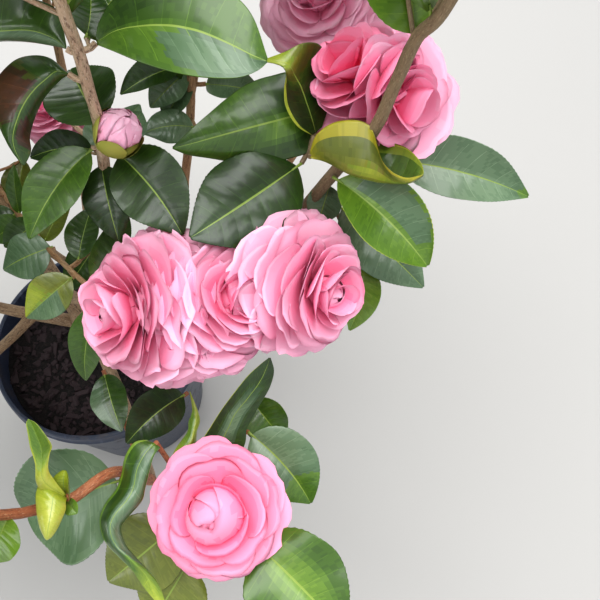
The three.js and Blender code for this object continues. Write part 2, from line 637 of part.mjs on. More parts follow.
// Side twigs spiral up each leader; they are shorter towards the top and the crown's middle
function growTwigs(shoot, leader) {
  const outward = shoot.entry.clone().setZ(0).normalize();
  const phase = chance() * Math.PI * 2;
  for (let i = 0; i < shoot.twigs; i += 1) {
    const share = THREE.MathUtils.lerp(0.06, 0.97, i / (shoot.twigs - 1));
    const start = leader.getPoint(share);
    const turn = phase + i * GOLDEN_ANGLE;
    const radial = at(Math.cos(turn), Math.sin(turn), 0);
    const last = i === shoot.twigs - 1;
    const rise = last ? 1.5 : 0.32 + 0.5 * share;
    const heading = radial.clone().multiplyScalar(last ? 0.3 : 1).add(at(0, 0, rise)).normalize();
    const favour = 1 + 0.22 * radial.dot(outward);
    const length = TWIG_LENGTH * favour * (1 - 0.42 * share) * (0.86 + 0.28 * chance());
    const bend = start.clone().addScaledVector(heading, 0.55 * length);
    const end = start.clone().addScaledVector(heading, length).add(at(0, 0, 0.12 * length));
    growTwig(shoot.name, [start, bend, end], i);
  }
}

// A twig with its leaves, and a bloom or a bud on some ends
const BLOOM_TURN = 3;
const BUD_TURN = 4;
const TWIG_VIEWS = [0.35, 0.55, 0.8, 1];
const TWIG_FITS = [0.5, 0.75, 1];
function growTwig(mass, points, number) {
  const curve = smooth(points);
  if (!TWIG_VIEWS.every((share) => unseen(curve.getPoint(share)))) return;
  const fits = ownSpace(mass);
  const length = curve.getLength();
  const count = Math.max(3, Math.round(length / LEAF_GAP));
  const phase = chance() * Math.PI * 2;
  const grown = [];
  const tangent = curve.getTangent(1);
  const facing = tangent.clone().add(at(0, 0, 0.25 + 0.4 * chance())).normalize();
  const end = points[points.length - 1];
  const radius = BLOOM_RADIUS * (0.9 + 0.16 * chance());
  const middle = end.clone().addScaledVector(facing, BLOOM_BACK * radius);
  const flower = { mass, middle, radius, face: facing };
  const bearsBloom = number % BLOOM_TURN === 1 && bloomSamples(flower).every(fits)
    && clearOfLeaves([flower.middle], 0.75 * radius)
    && blooms.every((bloom) => bloom.middle.distanceTo(flower.middle) > BLOOM_SPACING);
  if (bearsBloom) blooms.push(flower);
  for (let j = 0; j < count; j += 1) {
    const share = THREE.MathUtils.lerp(0.25, bearsBloom ? 0.86 : 0.97, j / (count - 1));
    const size = 0.84 + 0.2 * Math.sin(Math.PI * share);
    const leaf = growLeaf(mass, curve, share, phase + j * GOLDEN_ANGLE, size);
    if (leaf) grown.push(leaf);
  }
  const reachable = TWIG_FITS.every((share) => fits(curve.getPoint(share)));
  if (!bearsBloom && grown.length > 0 && number % BUD_TURN === 2 && reachable) {
    const size = BUD_RADIUS * (0.7 + 0.4 * chance());
    const heart = end.clone().addScaledVector(tangent, BUD_BACK * size);
    buds.push({ mass, middle: heart, radius: size, face: tangent });
  }
  if (bearsBloom || grown.length > 0) addWood(mass, points, TWIG_ROOT_RADIUS, TWIG_TIP_RADIUS, TWIG_STEPS);
}

// Grow everything in one order, so that each mass finds the space the others have left it
const limbs = growLimbs();
const leaders = new Map(SHOOTS.map((shoot) => [shoot.name, leaderCurve(shoot)]));
for (const shoot of SHOOTS) {
  const tipRadius = shoot.tipRadius ?? LEADER_TIP_RADIUS;
  wood.get(shoot.name).push({ curve: leaders.get(shoot.name), rootRadius: shoot.bough[1], tipRadius });
}
growNamed();
for (const shoot of SHOOTS) {
  growTwigs(shoot, leaders.get(shoot.name));
  growLeaderLeaves(shoot, leaders.get(shoot.name));
}

// Bounding boxes sort out quickly what can't touch
function boxesMeet(a, b) {
  const first = a.boundingBox();
  const second = b.boundingBox();
  return [0, 1, 2].every((axis) => first.min[axis] < second.max[axis] + GAP
    && second.min[axis] < first.max[axis] + GAP);
}

// A mass of foliage: its leader fused with every twig, bloom, bud and leaf that touches nothing else
// and that leaves a sound skin
const SOUND_DIGITS = [3, 4];
function massSolid(shoot, leader, obstacles) {
  const isClear = (solid) => obstacles.every(
    (other) => !boxesMeet(solid, other) || solid.minGap(other, 1) >= GAP);
  const own = (things) => things.filter((thing) => thing.mass === shoot.name);
  const pieces = [];
  for (const twig of wood.get(shoot.name).slice(1)) {
    pieces.push(limbSolid(twig.curve, taper(twig.rootRadius, twig.tipRadius), TWIG_SIDES, twig.steps));
  }
  pieces.push(...own(blooms).map(bloomSolid), ...own(buds).map(budSolid), ...own(leaves).map(leafSolid));
  let mass = leader;
  for (const piece of pieces.filter(isClear)) {
    const fused = mass.add(piece);
    if (SOUND_DIGITS.every((digits) => isSound(fused, digits))) mass = fused;
  }
  return mainLump(mass);
}

// A body turned about the pot's axis from pairs of radius and height
function turned(outline) {
  const points = outline.map(([radius, height]) => new THREE.Vector2(radius, height));
  return new THREE.LatheGeometry(points, POT_SIDES).rotateX(Math.PI / 2);
}

// Pot: a lathed shell with a lip, a band and a ridge under it, and drain holes in its floor
function potSolid() {
  const bandFoot = POT_HEIGHT - POT_BAND_HEIGHT;
  const outline = [
    [0, 0], [POT_BASE_RADIUS - 3, 0], [POT_BASE_RADIUS, 3],
    [POT_SHOULDER_RADIUS, bandFoot - 3], [POT_RIM_RADIUS, bandFoot - 2],
    [POT_RIM_RADIUS + POT_RIDGE, bandFoot],
    [POT_RIM_RADIUS, bandFoot + 2], [POT_RIM_RADIUS, POT_HEIGHT - 1], [POT_RIM_RADIUS - 1, POT_HEIGHT],
    [POT_RIM_RADIUS - POT_LIP_WIDTH, POT_HEIGHT], [POT_RIM_RADIUS - POT_LIP_WIDTH - 0.5, POT_HEIGHT - 2],
    [POT_SHOULDER_RADIUS - POT_WALL, bandFoot - 4], [POT_BASE_RADIUS - POT_WALL, POT_FLOOR], [0, POT_FLOOR],
  ];
  const shell = turned(outline);
  let solid = solidOf(shell);
  for (let i = 0; i < DRAIN_COUNT; i += 1) {
    const angle = (i + 0.5) * 2 * Math.PI / DRAIN_COUNT;
    const drill = new THREE.CylinderGeometry(DRAIN_RADIUS, DRAIN_RADIUS, 4 * POT_FLOOR, 12);
    drill.rotateX(Math.PI / 2);
    drill.translate(DRAIN_CIRCLE * Math.cos(angle), DRAIN_CIRCLE * Math.sin(angle), 0);
    solid = solid.subtract(solidOf(drill));
  }
  return solid;
}

// Soil: it fills the pot to just under the rim, lumpy but flat where the stem stands
function soilSolid() {
  const wallAt = (height) => THREE.MathUtils.mapLinear(height, POT_FLOOR, POT_HEIGHT - POT_BAND_HEIGHT - 4,
    POT_BASE_RADIUS - POT_WALL, POT_SHOULDER_RADIUS - POT_WALL) - 1.5 * GAP;
  const foot = POT_FLOOR + GAP;
  const outline = [[0, foot], [wallAt(foot), foot], [wallAt(SOIL_LEVEL), SOIL_LEVEL],
    ...SOIL_RINGS.map((radius) => [radius, SOIL_LEVEL]), [0, SOIL_LEVEL]];
  const plug = turned(outline);
  const position = plug.getAttribute('position');
  for (let i = 0; i < position.count; i += 1) {
    const radius = Math.hypot(position.getX(i), position.getY(i));
    const angle = Math.atan2(position.getY(i), position.getX(i));
    const isOnTop = position.getZ(i) > SOIL_LEVEL - 1;
    const isLump = isOnTop && radius > SOIL_FLAT_RADIUS + 1 && radius < SOIL_RINGS[0] + 1;
    const swell = Math.sin(angle * 3 + radius) * Math.cos(angle * 5 - radius);
    if (isLump) position.setZ(i, SOIL_LEVEL + SOIL_LUMP * swell);
  }
  return solidOf(plug);
}

const COLOURS = {
  pot: 0x17191c, soil: 0x1d1715, bark: 0x8a6a4c, leaves: 0x2f5a2c,
};

function addMesh(parent, name, solid, color, roughness) {
  const material = new THREE.MeshStandardMaterial({ color, roughness, metalness: 0 });
  const mesh = new THREE.Mesh(geometryOf(solid), material);
  mesh.name = name;
  parent.add(mesh);
}

const group = new THREE.Group();
const pot = potSolid();
const soil = soilSolid();
addMesh(group, 'nursery_pot', pot, COLOURS.pot, 0.5);
addMesh(group, 'potting_soil', soil, COLOURS.soil, 0.95);
addMesh(group, 'trunk', limbs.get('trunk').solid, COLOURS.bark, 0.85);
for (const shoot of SHOOTS) {
  addMesh(group, `bough_${shoot.name}`, limbs.get(shoot.name).solid, COLOURS.bark, 0.85);
}

// Each mass keeps clear of what is made before it and of every other leader
const made = [pot, soil, ...[...limbs.values()].map((limb) => limb.solid)];
const leaderSolids = SHOOTS.map(leaderSolid);
for (const [index, shoot] of SHOOTS.entries()) {
  const otherLeaders = leaderSolids.filter((_, place) => place !== index);
  const solid = massSolid(shoot, leaderSolids[index], [...made, ...otherLeaders]);
  made.push(solid);
  addMesh(group, `foliage_${shoot.name}`, solid, COLOURS.leaves, 0.35);
}

export default group;
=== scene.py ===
"""A young camellia shrub in full bloom, in its round black nursery pot.

Metres, +Z up: the pot stands on z = 0 with its middle at the origin. The plant grows by the rule of its
solids, in millimetres, and is carried on here to finer twigs, leaves, petals and bark.
"""

import math

import bmesh
import bpy
import numpy as np
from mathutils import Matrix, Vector


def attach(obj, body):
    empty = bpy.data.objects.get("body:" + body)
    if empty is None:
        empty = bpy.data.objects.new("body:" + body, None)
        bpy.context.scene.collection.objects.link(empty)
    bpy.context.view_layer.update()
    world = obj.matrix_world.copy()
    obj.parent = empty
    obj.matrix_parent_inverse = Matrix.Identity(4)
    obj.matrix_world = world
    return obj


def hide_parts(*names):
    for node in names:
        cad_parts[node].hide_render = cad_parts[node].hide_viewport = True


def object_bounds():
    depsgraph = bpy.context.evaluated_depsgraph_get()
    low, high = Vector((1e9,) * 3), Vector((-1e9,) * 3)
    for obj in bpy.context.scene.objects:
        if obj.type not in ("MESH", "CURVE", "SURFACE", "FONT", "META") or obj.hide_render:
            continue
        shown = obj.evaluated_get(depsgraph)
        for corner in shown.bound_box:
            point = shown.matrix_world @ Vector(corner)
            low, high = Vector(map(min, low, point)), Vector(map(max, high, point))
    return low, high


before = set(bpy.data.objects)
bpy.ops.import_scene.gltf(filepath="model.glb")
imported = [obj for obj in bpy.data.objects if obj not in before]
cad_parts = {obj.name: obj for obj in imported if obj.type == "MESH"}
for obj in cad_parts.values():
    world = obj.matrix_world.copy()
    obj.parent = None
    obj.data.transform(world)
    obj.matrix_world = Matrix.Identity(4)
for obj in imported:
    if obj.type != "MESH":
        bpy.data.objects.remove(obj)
CAD_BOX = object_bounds()
MM = 0.001

# Pot and soil, in millimetres as all of the growth rule is
POT_HEIGHT = 215
POT_BASE_RADIUS = 90
POT_SHOULDER_RADIUS = 111.5
POT_RIM_RADIUS = 115
POT_BAND_HEIGHT = 14
POT_RIDGE = 1.6
POT_LIP_WIDTH = 5
POT_WALL = 2
POT_FLOOR = 3
DRAIN_COUNT = 6
DRAIN_RADIUS = 7
DRAIN_CIRCLE = 62
SOIL_LEVEL = 190
SOIL_DEPTH = 28
SOIL_GAP = 3.1

# Stem of the shrub, from the soil to its fork
TRUNK_FLARE_RADIUS = 17
TRUNK_FOOT_RADIUS = 11.5
TRUNK_FORK_RADIUS = 9.5
TRUNK_FORK_HEIGHT = 268
TRUNK_LEAN = (-4, 5)
TRUNK_OFFCUT = 8

# Crown, leaves, twigs, blooms and buds of the growth rule
CROWN_CENTRE = np.array((20.0, 0.0, 505.0))
CROWN_RADII = np.array((372.0, 340.0, 310.0))
CROWN_ROUNDING = 3
CROWN_FLOOR = 262
LEAF_LENGTH = 82
LEAF_WIDTH_SHARE = 0.5
LEAF_SPACING = 18
LEAF_FOLD = 0.2
LEAF_GAP = 15
LEAF_DROOP = 0.12
LEAF_BOW = 0.07
TWIG_LENGTH = 118
TWIG_ROOT_RADIUS = 2.3
TWIG_TIP_RADIUS = 1.4
STALK_RADIUS = 1.7
STALK_SAG = 0.08
STALK_OVERLAP = 1.5
LEADER_TIP_RADIUS = 1.9
BARE_SHARE = 0.4
LEADER_LEAF_SIZE = 0.9
BLOOM_RADIUS = 41
BLOOM_SPACING = 100
BLOOM_CLEARANCE = 4
BLOOM_BACK = 0.42
BLOOM_TURN = 3
BUD_RADIUS = 12.5
BUD_BACK = 0.9
BUD_TURN = 4
GOLDEN_ANGLE = math.radians(137.5)
FULL_TURN = 2 * math.pi
GROWTH_SEED = 20260

# Finer growth of the scene, by the same rule with a chance of its own
FINE_SEED = 4711
FINE_SPACING = 13.5
FINE_STEP = 24
FINE_LENGTH = 46
FINE_LEAF_SIZE = 0.68
FINE_LEAF_SHARES = (0.45, 0.65, 0.82, 0.96)
FINE_RADII = (1.3, 0.9)
SHOWN_STALK_RADII = (1.2, 0.9)
END_LEAF_SPACING = 7
END_LEAF_LENGTHS = (54, 32)
END_LEAF_CHANCE = 10
BOX_MARGIN = 2

# View of the reference picture: its eye, its tilt from straight down and its focal length
EYE = np.array((230.0, -268.0, 893.0))
VIEW_TILT = math.radians(25)
FOCAL_PIXELS = 643
FRAME_PIXELS = 600
VIEW_RIGHT = np.array((1.0, 0.0, 0.0))
VIEW_UP = np.array((0.0, math.cos(VIEW_TILT), math.sin(VIEW_TILT)))
VIEW_BACK = np.array((0.0, -math.sin(VIEW_TILT), math.cos(VIEW_TILT)))


def at(x, y, z):
    return np.array((x, y, z), float)


def up(height):
    return at(0, 0, height)


def seen(x, y, reach):
    """The point seen at a pixel of the picture, at a reach along the view."""
    across = (x - FRAME_PIXELS / 2) / FOCAL_PIXELS
    upward = (FRAME_PIXELS / 2 - y) / FOCAL_PIXELS
    return EYE + VIEW_RIGHT * (across * reach) + VIEW_UP * (upward * reach) - VIEW_BACK * reach


def viewed(across, upward, out):
    """A direction given across, up and out of the picture."""
    return VIEW_RIGHT * across + VIEW_UP * upward + VIEW_BACK * out


def in_picture(points):
    """Where points fall in the picture, with their reach."""
    offset = np.atleast_2d(points) - EYE
    reach = -(offset @ VIEW_BACK)
    x = FRAME_PIXELS / 2 + FOCAL_PIXELS * (offset @ VIEW_RIGHT) / reach
    y = FRAME_PIXELS / 2 - FOCAL_PIXELS * (offset @ VIEW_UP) / reach
    return x, y, reach


def shoot(name, bearer, share, bough, twigs, entry, leader, tip=LEADER_TIP_RADIUS):
    """A bough and the leader that goes on from it: what bears it and where, the bough's radii, the count
    of twigs, the place where the bough enters its mass of foliage and the leader's way through it."""
    return dict(name=name, bearer=bearer, share=share, bough=bough, twigs=twigs, entry=entry,
                leader=leader, tip=tip)


SHOOTS = [
    shoot("centre", "trunk", 0.96, (8.2, 5.6), 11, at(-10, 22, 400), [at(-14, 34, 590), at(-34, 44, 775)]),
    shoot("right", "trunk", 0.72, (7.4, 4.6), 9, seen(278, 240, 474),
          [seen(335, 172, 410), seen(372, 133, 374), seen(395, 85, 340), seen(417, 38, 308),
           seen(450, 0, 280), at(318, -20, 770)], tip=2.8),
    shoot("tall_left", "centre", 0.3, (6.2, 4.2), 8, seen(118, 290, 482),
          [seen(104, 165, 402), seen(99, 125, 374), seen(89, 90, 347), seen(78, 50, 318),
           seen(60, 0, 285), at(128, -22, 785)], tip=2.6),
    shoot("front", "trunk", 0.42, (6.8, 4.4), 8, at(112, -182, 372),
          [seen(115, 472, 412), seen(70, 500, 384), seen(35, 510, 364), seen(0, 515, 345),
           at(36, -240, 620)], tip=2.2),
    shoot("left", "trunk", 0.84, (7.0, 4.4), 12, at(-118, -4, 352),
          [at(-190, -14, 520), at(-228, -12, 715)]),
    shoot("back", "trunk", 0.6, (6.8, 4.4), 12, at(10, 112, 346), [at(22, 178, 520), at(26, 208, 735)]),
    shoot("back_right", "right", 0.34, (5.4, 3.8), 10, at(132, 44, 440),
          [at(150, 72, 530), at(176, 130, 740)]),
    shoot("back_left", "back", 0.36, (5.4, 3.8), 11, at(-92, 96, 362),
          [at(-146, 148, 520), at(-166, 170, 715)]),
    shoot("front_left", "left", 0.34, (5.4, 3.8), 11, at(-70, -92, 356),
          [at(-112, -150, 500), at(-128, -176, 685)]),
    shoot("far_right", "right", 0.42, (4.6, 3.2), 8, at(190, 72, 372),
          [at(252, 112, 480), at(276, 140, 640)]),
]
MASSES = [entry["name"] for entry in SHOOTS]

# Blooms and the bud that the picture shows: mass, middle, radius and facing as the solids have them, then
# how far they stand from there in the picture, how they look out of it, their size and their petals
BLOOMS = [
    dict(mass="front", middle=(218, 511, 395), radius=43, face=(0.0, 0.12, 1), nudge=(-2, 3, 0), size=0.98,
         shape=dict(Petals=21, Spread=86, Heart=36, Pale=-1.8, Ruffle=0.05, Outer_Size=1.0, Heart_Size=0.7,
                    Heart_Height=0.1, Heart_Bud=0.4, Heart_Bud_Height=0.02, Heart_Tuck=0.9, Loose=0.9)),
    dict(mass="centre", middle=(140, 320, 388), radius=44, face=(-0.62, -0.05, 0.8), nudge=(-12, -10, 0),
         look=(-0.7, -0.08, 0.68), size=1.2, shape=dict(Spread=112, Pale=0.7)),
    dict(mass="centre", middle=(212, 297, 402), radius=43, face=(0.62, 0.12, 0.7), nudge=(20, 0, -16),
         size=1.08, shape=dict(Petals=52, Spread=108, Pale=0.7)),
    dict(mass="right", middle=(303, 292, 392), radius=46, face=(0.72, -0.22, 0.55), nudge=(21, 0, 0),
         size=1.06, shape=dict(Spread=112, Pale=0.9)),
    dict(mass="right", middle=(378, 88, 392), radius=43, face=(-0.28, 0.1, 1), nudge=(-8, -3, 0), size=1.1,
         shape=dict(Petals=22, Spread=100, Heart=52, Pale=1.1, Ruffle=0.08, Outer_Size=1.0, Heart_Size=0.86,
                    Heart_Height=0.06, Heart_Petals=0, Loose=2.2, Broad=1.1),
         parts=[dict(offset=(-13, 6, 9), look=(-0.55, 0.42, 0.7), size=0.78,
                     shape=dict(Petals=16, Spread=72, Heart=10, Pale=-1.6)),
                dict(offset=(14, -10, 8), look=(0.66, -0.42, 0.62), size=0.86,
                     shape=dict(Petals=18, Spread=84, Heart=12, Pale=0))]),
    # Pale=2 paints this bloom's tones lighter to make up for the shade it lies in
    dict(mass="back_right", middle=(322, 20, 432), radius=40, face=(-0.2, -0.1, 1), nudge=(-2, -22, 0),
         size=1.06, shape=dict(Petals=40, Spread=100, Heart=16, Pale=2, Ruffle=0.08, Outer_Size=1.0,
                               Heart_Size=0.56, Loose=2.0, Broad=1.16)),
    dict(mass="tall_left", middle=(56, 115, 462), radius=28, face=(-0.2, 0.1, 1), nudge=(-6, -8, 0),
         size=1.06, shape=dict(Petals=40, Spread=94, Heart=16, Loose=1.8, Broad=1.15)),
]
BUDS = [
    dict(mass="tall_left", middle=(115, 137, 376), radius=13, face=(0.35, 0.12, 1), look=(0.6, 0.44, 0.66),
         size=1.08),
]

# Named twigs of the picture, each from the leader or the twig before it
TWIGS = [
    dict(mass="centre", ends=(2.6, 1.8), path=[at(-12, 26, 470), at(0, 30, 498), seen(0, 190, 500),
                                               seen(45, 245, 466), seen(92, 290, 424)]),
    dict(mass="right", ends=(2.2, 1.6), path=[seen(372, 133, 376), seen(394, 150, 430),
                                              seen(413, 170, 462)]),
]


def blade(root, tip, width, tone, bow=(0, 0, 3), face=(0, 0, 1), **form):
    """A leaf of the picture: root and tip in it, width, tone, bow of the midrib and facing.

    A leaf that curls has a sheet: rows from its root to its tip, each of nine numbers for a place on its
    left edge, its midrib and its right edge. Patches are a tone with its bounds along and across the leaf.
    """
    return dict(root=root, tip=tip, width=width, bow=bow, face=face, tone=tone, form=form)


# Leaves and patches in the pale tone are painted sheen: the reflection on glossy leaves put into their
# colour
LEAVES = {
    "tall_left": [
        blade((86, 49, 322), (268, 74, 316), 46, "green", (2, 15, 8), (0, 0.3, 1),
              patches=[("deep", 0, 0.5, -1, -0.1), ("pale", 0.35, 0.95, 0.1, 0.9)], sheet=[
            95.2, 42.5, 320, 95, 43.3, 320, 94.8, 44, 320,  99, 22, 318, 115, 31, 318, 115, 52, 318,
            115, -3, 316, 140, 26, 316, 143, 63.5, 316,  147, -29, 314, 170, 25.5, 314, 177, 73.5, 314,
            187, -33, 312, 200, 31.5, 313, 207, 78, 313,  227, -10, 312, 230, 44, 313, 237, 78, 313,
            252, 15, 313, 252, 55, 314, 257, 71, 314,  268.7, 61, 316, 268.4, 61.4, 316, 268, 62, 316]),
        blade((68, 47, 320), (-20, 34, 318), 30, "deep", (0, 4, 4), (0, 0.35, 1),
              patches=[("pale", 0, 1, -1, -0.06)], sheet=[
            67, 49.4, 320, 67, 49, 320, 67, 48.5, 320,  55, 46.5, 324, 53, 38, 318, 63, 28, 322,
            30, 42.5, 326, 30, 30.5, 316, 55, 8, 322,  5, 41.5, 328, 2, 31, 315, 30, -2, 322,
            -20, 43, 328, -24, 33, 316, -5, -6, 322,  -40, 43, 326, -44, 38, 318, -36, 10, 322,
            -58, 44, 322, -58, 43.6, 322, -58, 43, 322]),
        blade((80, 86, 346), (27, 165, 348), 32, "deep", (-8, 12, 6), (-0.4, 0.2, 1),
              patches=[("bronze", 0.3, 0.62, 0.1, 1), ("bronze", 0.55, 0.78, -1, -0.15)], sheet=[
            69.5, 74.5, 342, 69, 74, 342, 68.5, 73.5, 342,  62, 79, 344, 57, 71, 338, 50, 58, 342,
            53, 88, 348, 46, 79, 337, 30, 55.5, 344,  44, 99, 350, 34, 90, 338, 12, 62, 346,
            38, 111, 352, 24, 104, 340, -5, 82, 348,  33, 124, 353, 17, 120, 342, -8, 106, 350,
            30, 138, 353, 13, 136, 345, 0, 129, 350,  31, 152, 352, 15, 150, 347, 10, 148, 350,
            24.2, 166.4, 350, 23.8, 166.6, 350, 23.4, 166.4, 350]),
        blade((100, 118, 372), (66, 66, 378), 34, "deep", (0, 0, 2),
              shown=((101, 126, 374), (70, 69, 380)), wide=1.25, far=1.1),
        blade((94, 148, 392), (29, 240, 390), 31, "green", (-2, 3, 4)),
        blade((103, 160, 402), (120, 243, 404), 29, "dark", (0, 0, 4),
              shown=((101, 162, 402), (119, 242, 406)), wide=0.95),
        blade((116, 152, 396), (183, 236, 392), 38, "dark", (3, 2, 4), wide=1.1),
        blade((96, 150, 404), (30, 158, 412), 22, "dark", (0, 3, 2)),
        blade((108, 152, 424), (140, 104, 446), 22, "pale"),
    ],
    "right": [
        blade((314, 141, 404), (172, 150, 386), 38, "deep", (0, 5, 6), (0.1, 0.3, 1),
              patches=[("green", 0.3, 0.85, 0, 1), ("fresh", 0.1, 0.4, -0.5, 0.1), ("green", 0.4, 1, -1, 0)],
              sheet=[
            319, 111, 404, 318.6, 110, 404, 318, 109, 404,  312, 148, 406, 296, 115.5, 398, 298, 74, 402,
            290, 158.5, 404, 275, 121, 395, 270, 76, 398,  262, 164, 402, 252, 127, 392, 246, 84.5, 396,
            235, 162.5, 400, 228, 133.5, 390, 227, 98, 394,  210, 158.5, 396, 208, 139, 389, 210, 112.5, 392,
            188, 155, 392, 190, 144, 388, 191, 129, 389,
            171.6, 148.6, 388, 171.2, 148.3, 388, 171.4, 147.8, 388]),
        blade((302, 165, 408), (190, 240, 370), 44, "dark", (0, -2, 5), wide=1.2,
              shown=((302, 163, 408), (189, 238.5, 374))),
        blade((326, 166, 392), (424, 176, 372), 31, "green", (2, 6, 12), (0.1, 0.5, 1), under="olive",
              below=[("gold", 0, 1, 0.82, 1), ("gold", 0, 0.06, -1, 1), ("gold", 0.74, 1, 0.5, 1),
                     ("lime", 0.3, 0.8, 0.1, 0.5)],
              patches=[("gold", 0, 1, 0.9, 1), ("lime", 0, 1, -1, -0.9), ("lime", 0.9, 1, -1, 1)], sheet=[
            309, 156, 392, 309.5, 157, 392, 309, 154, 392,  330, 143, 391, 326, 161, 390, 317, 134, 380,
            352, 134, 391, 351, 174, 386, 339, 121, 374,  380, 140, 390, 377, 181, 380, 369, 125, 368,
            405, 147, 386, 400, 183, 375, 383, 162, 364,  420, 161, 378, 413, 181, 372, 403, 177, 366,
            424, 172, 373, 424, 174, 372, 423, 175, 372]),
        blade((336, 180, 404), (432, 268, 396), 40, "fresh", (2, 2, 6), wide=1.2, far=1.28,
              shown=((333, 177, 404), (428, 267, 398)), patches=[("pale", 0.15, 0.8, -0.9, -0.1),
              ("lime", 0.12, 1, 0.94, 1), ("lime", 0.5, 1, -1, -0.95)]),
        blade((314, 137, 398), (262, 60, 380), 15, "dark", (6, 4, 6), (1, -0.4, 0.8), under="fresh",
              patches=[("lime", 0, 1, -1, -0.84), ("olive", 0.52, 1, -1, 1), ("lime", 0.7, 1, -0.5, 1)],
              sheet=[
            313, 136, 396, 316, 134, 397, 321, 130, 398,  297, 126, 388, 312, 119, 394, 328, 108, 402,
            286, 108, 382, 306, 101, 391, 330, 84, 402,  284, 90, 378, 301, 87, 388, 327, 62, 398,
            286, 75, 376, 295, 76, 384, 320, 45, 386,  283, 67, 376, 290, 67, 378, 303, 43, 378,
            276, 64, 378, 279, 62, 377, 284, 52, 378,  261, 61.4, 380, 261, 61, 380, 261, 60.5, 380]),
        blade((416, 172, 462), (528, 190, 468), 38, "pale", (0, 4, 5), wide=1.16,
              shown=((386, 160, 462), (529.5, 197, 470)), patches=[("green", 0.88, 1, -1, 1)]),
        blade((338, 205, 474), (424, 288, 472), 42, "pale", (0, 0, 4)),
        blade((340, 255, 478), (350, 330, 478), 26, "fresh", (4, 0, 3),
              shown=((362, 261, 480), (349, 331, 480))),
        blade((416, 40, 312), (392, -90, 300), 40, "fresh", (0, 0, 6), wide=1.12),
    ],
    "back_right": [
        blade((182, 66, 458), (120, 95, 448), 24, "deep", (0, 2, 3)),
        blade((190, 78, 476), (164, 122, 478), 22, "pale"),
        blade((196, 128, 478), (142, 134, 462), 24, "pale", (0, 3, 2)),
        blade((204, 84, 478), (262, 92, 470), 26, "pale"),
    ],
    "centre": [
        blade((52, 250, 462), (3, 264, 466), 24, "pale", (0, 1, 3), wide=1.3,
              shown=((53, 247, 462), (3, 270, 466))),
        blade((74, 276, 446), (26, 318, 452), 28, "olive",
              patches=[("pale", 0.3, 1, -1, 0.1), ("lime", 0.4, 1, 0.1, 1)]),
        blade((96, 300, 440), (84, 380, 470), 26, "green", (-3, 0, 3), wide=0.9,
              shown=((98, 304, 440), (86, 381, 470))),
        blade((78, 262, 444), (92, 206, 452), 22, "deep"),
        blade((90, 284, 430), (128, 214, 446), 22, "deep", (3, 0, 2)),
        blade((44, 243, 466), (72, 192, 462), 20, "olive"),
        blade((18, 214, 488), (-30, 226, 486), 20, "deep"),
        blade((20, 216, 488), (14, 164, 470), 12, "green"),
    ],
    "front": [
        blade((104, 372, 512), (122, 432, 498), 28, "deep", patches=[("pale", 0.1, 1, 0.3, 1)]),
        blade((186, 394, 492), (126, 444, 476), 34, "dark", (0, 4, 4)),
        blade((170, 466, 428), (189, 390, 440), 13, "lime", (4, 0, 0), under="olive",
              patches=[("bronze", 0.1, 0.3, 0.2, 1), ("fresh", 0.2, 0.8, -1, 0)], sheet=[
            168, 469, 428, 169.5, 468, 428, 172, 467, 428,
            174, 451.5, 430, 181.5, 456, 427, 190.5, 456, 431,
            182, 439.5, 432, 190, 441, 429, 196, 444, 433,  187.5, 431, 434, 193, 430.5, 432, 197, 432, 435,
            188.5, 421.5, 436, 195, 420, 434, 200, 421.5, 437,
            192, 409.5, 438, 195, 408, 437, 198, 411, 438,
            189.2, 390, 440, 189.4, 389.8, 440, 189.6, 390, 440]),
        blade((203, 452, 432), (274, 366, 412), 30, "dark", (-2, 4, 4), (0.5, -0.5, 1),
              patches=[("lime", 0, 1, -1, -0.93), ("pale", 0.15, 0.6, -0.4, 0.5)], sheet=[
            196, 455, 434, 203, 459, 432, 211, 460, 432,  201, 442, 424, 219, 444, 430, 242, 449, 436,
            210, 427.5, 420, 227, 430.5, 427, 247, 428, 434,  220.5, 411, 416, 235, 414, 423, 254, 415, 430,
            233, 394, 412, 247, 399, 419, 261, 403, 425,  247.5, 376, 410, 259, 383, 415, 270, 387, 420,
            259.5, 365, 410, 266, 369, 412, 274, 371, 414,
            269.5, 357, 411, 270, 357, 411, 270.5, 357, 411]),
        blade((240, 402, 462), (290, 438, 466), 26, "green", wide=1.25,
              shown=((250, 398, 462), (284, 440, 466))),
        blade((246, 440, 444), (308, 504, 444), 34, "pale", (4, 2, 3), wide=1.3,
              shown=((248, 432, 446), (311, 504, 446)), patches=[("green", 0.6, 1, -1, 1)]),
        blade((246, 532, 418), (352, 614, 404), 50, "green", (2, 2, 5), wide=1.3,
              patches=[("fresh", 0, 1, -0.5, 0.3)], shown=((252, 540, 420), (343, 632, 404))),
        blade((118, 474, 420), (18, 542, 426), 56, "pale", (-2, 2, 6), wide=1.36,
              shown=((122, 480, 418), (27, 516, 416))),
        blade((162, 448, 412), (160, 604, 398), 27, "deep", (-10, 2, 6), (-0.7, 0, 1), under="lime",
              patches=[("pale", 0.1, 0.7, -0.8, 0.2), ("cream", 0, 0.8, -1, -0.97),
                       ("fresh", 0, 0.7, 0.8, 1), ("lime", 0.8, 1, -1, 1)], sheet=[
            162, 446, 408, 156, 442, 406, 150, 439.5, 408,
            154.5, 455, 402, 146, 452.5, 402, 134.5, 442, 406,
            150, 470, 400, 137.5, 468, 399, 125, 456, 406,
            145.5, 488, 400, 133.5, 487, 396, 121, 474.5, 406,
            142, 501, 400, 127, 500, 393, 116, 489, 402,
            128, 517.5, 398, 115, 514.5, 390, 104.5, 504.5, 398,
            121.5, 528, 398, 110, 528.5, 388, 99.5, 521, 395,
            126.5, 545, 396, 115.5, 545, 388, 104.5, 541, 393,
            136.5, 557.5, 394, 128.5, 557.5, 388, 117.5, 556, 391,
            156, 579.5, 392, 145, 574, 390, 132, 570.5, 391,
            164, 598, 392, 156, 594.5, 391, 145, 589, 391,  166, 611, 392, 165, 611, 392, 164, 611, 392]),
        blade((48, 505, 370), (27, 420, 340), 13, "fresh", (2, 0, 2), (0.6, 0.2, 1), under="lime",
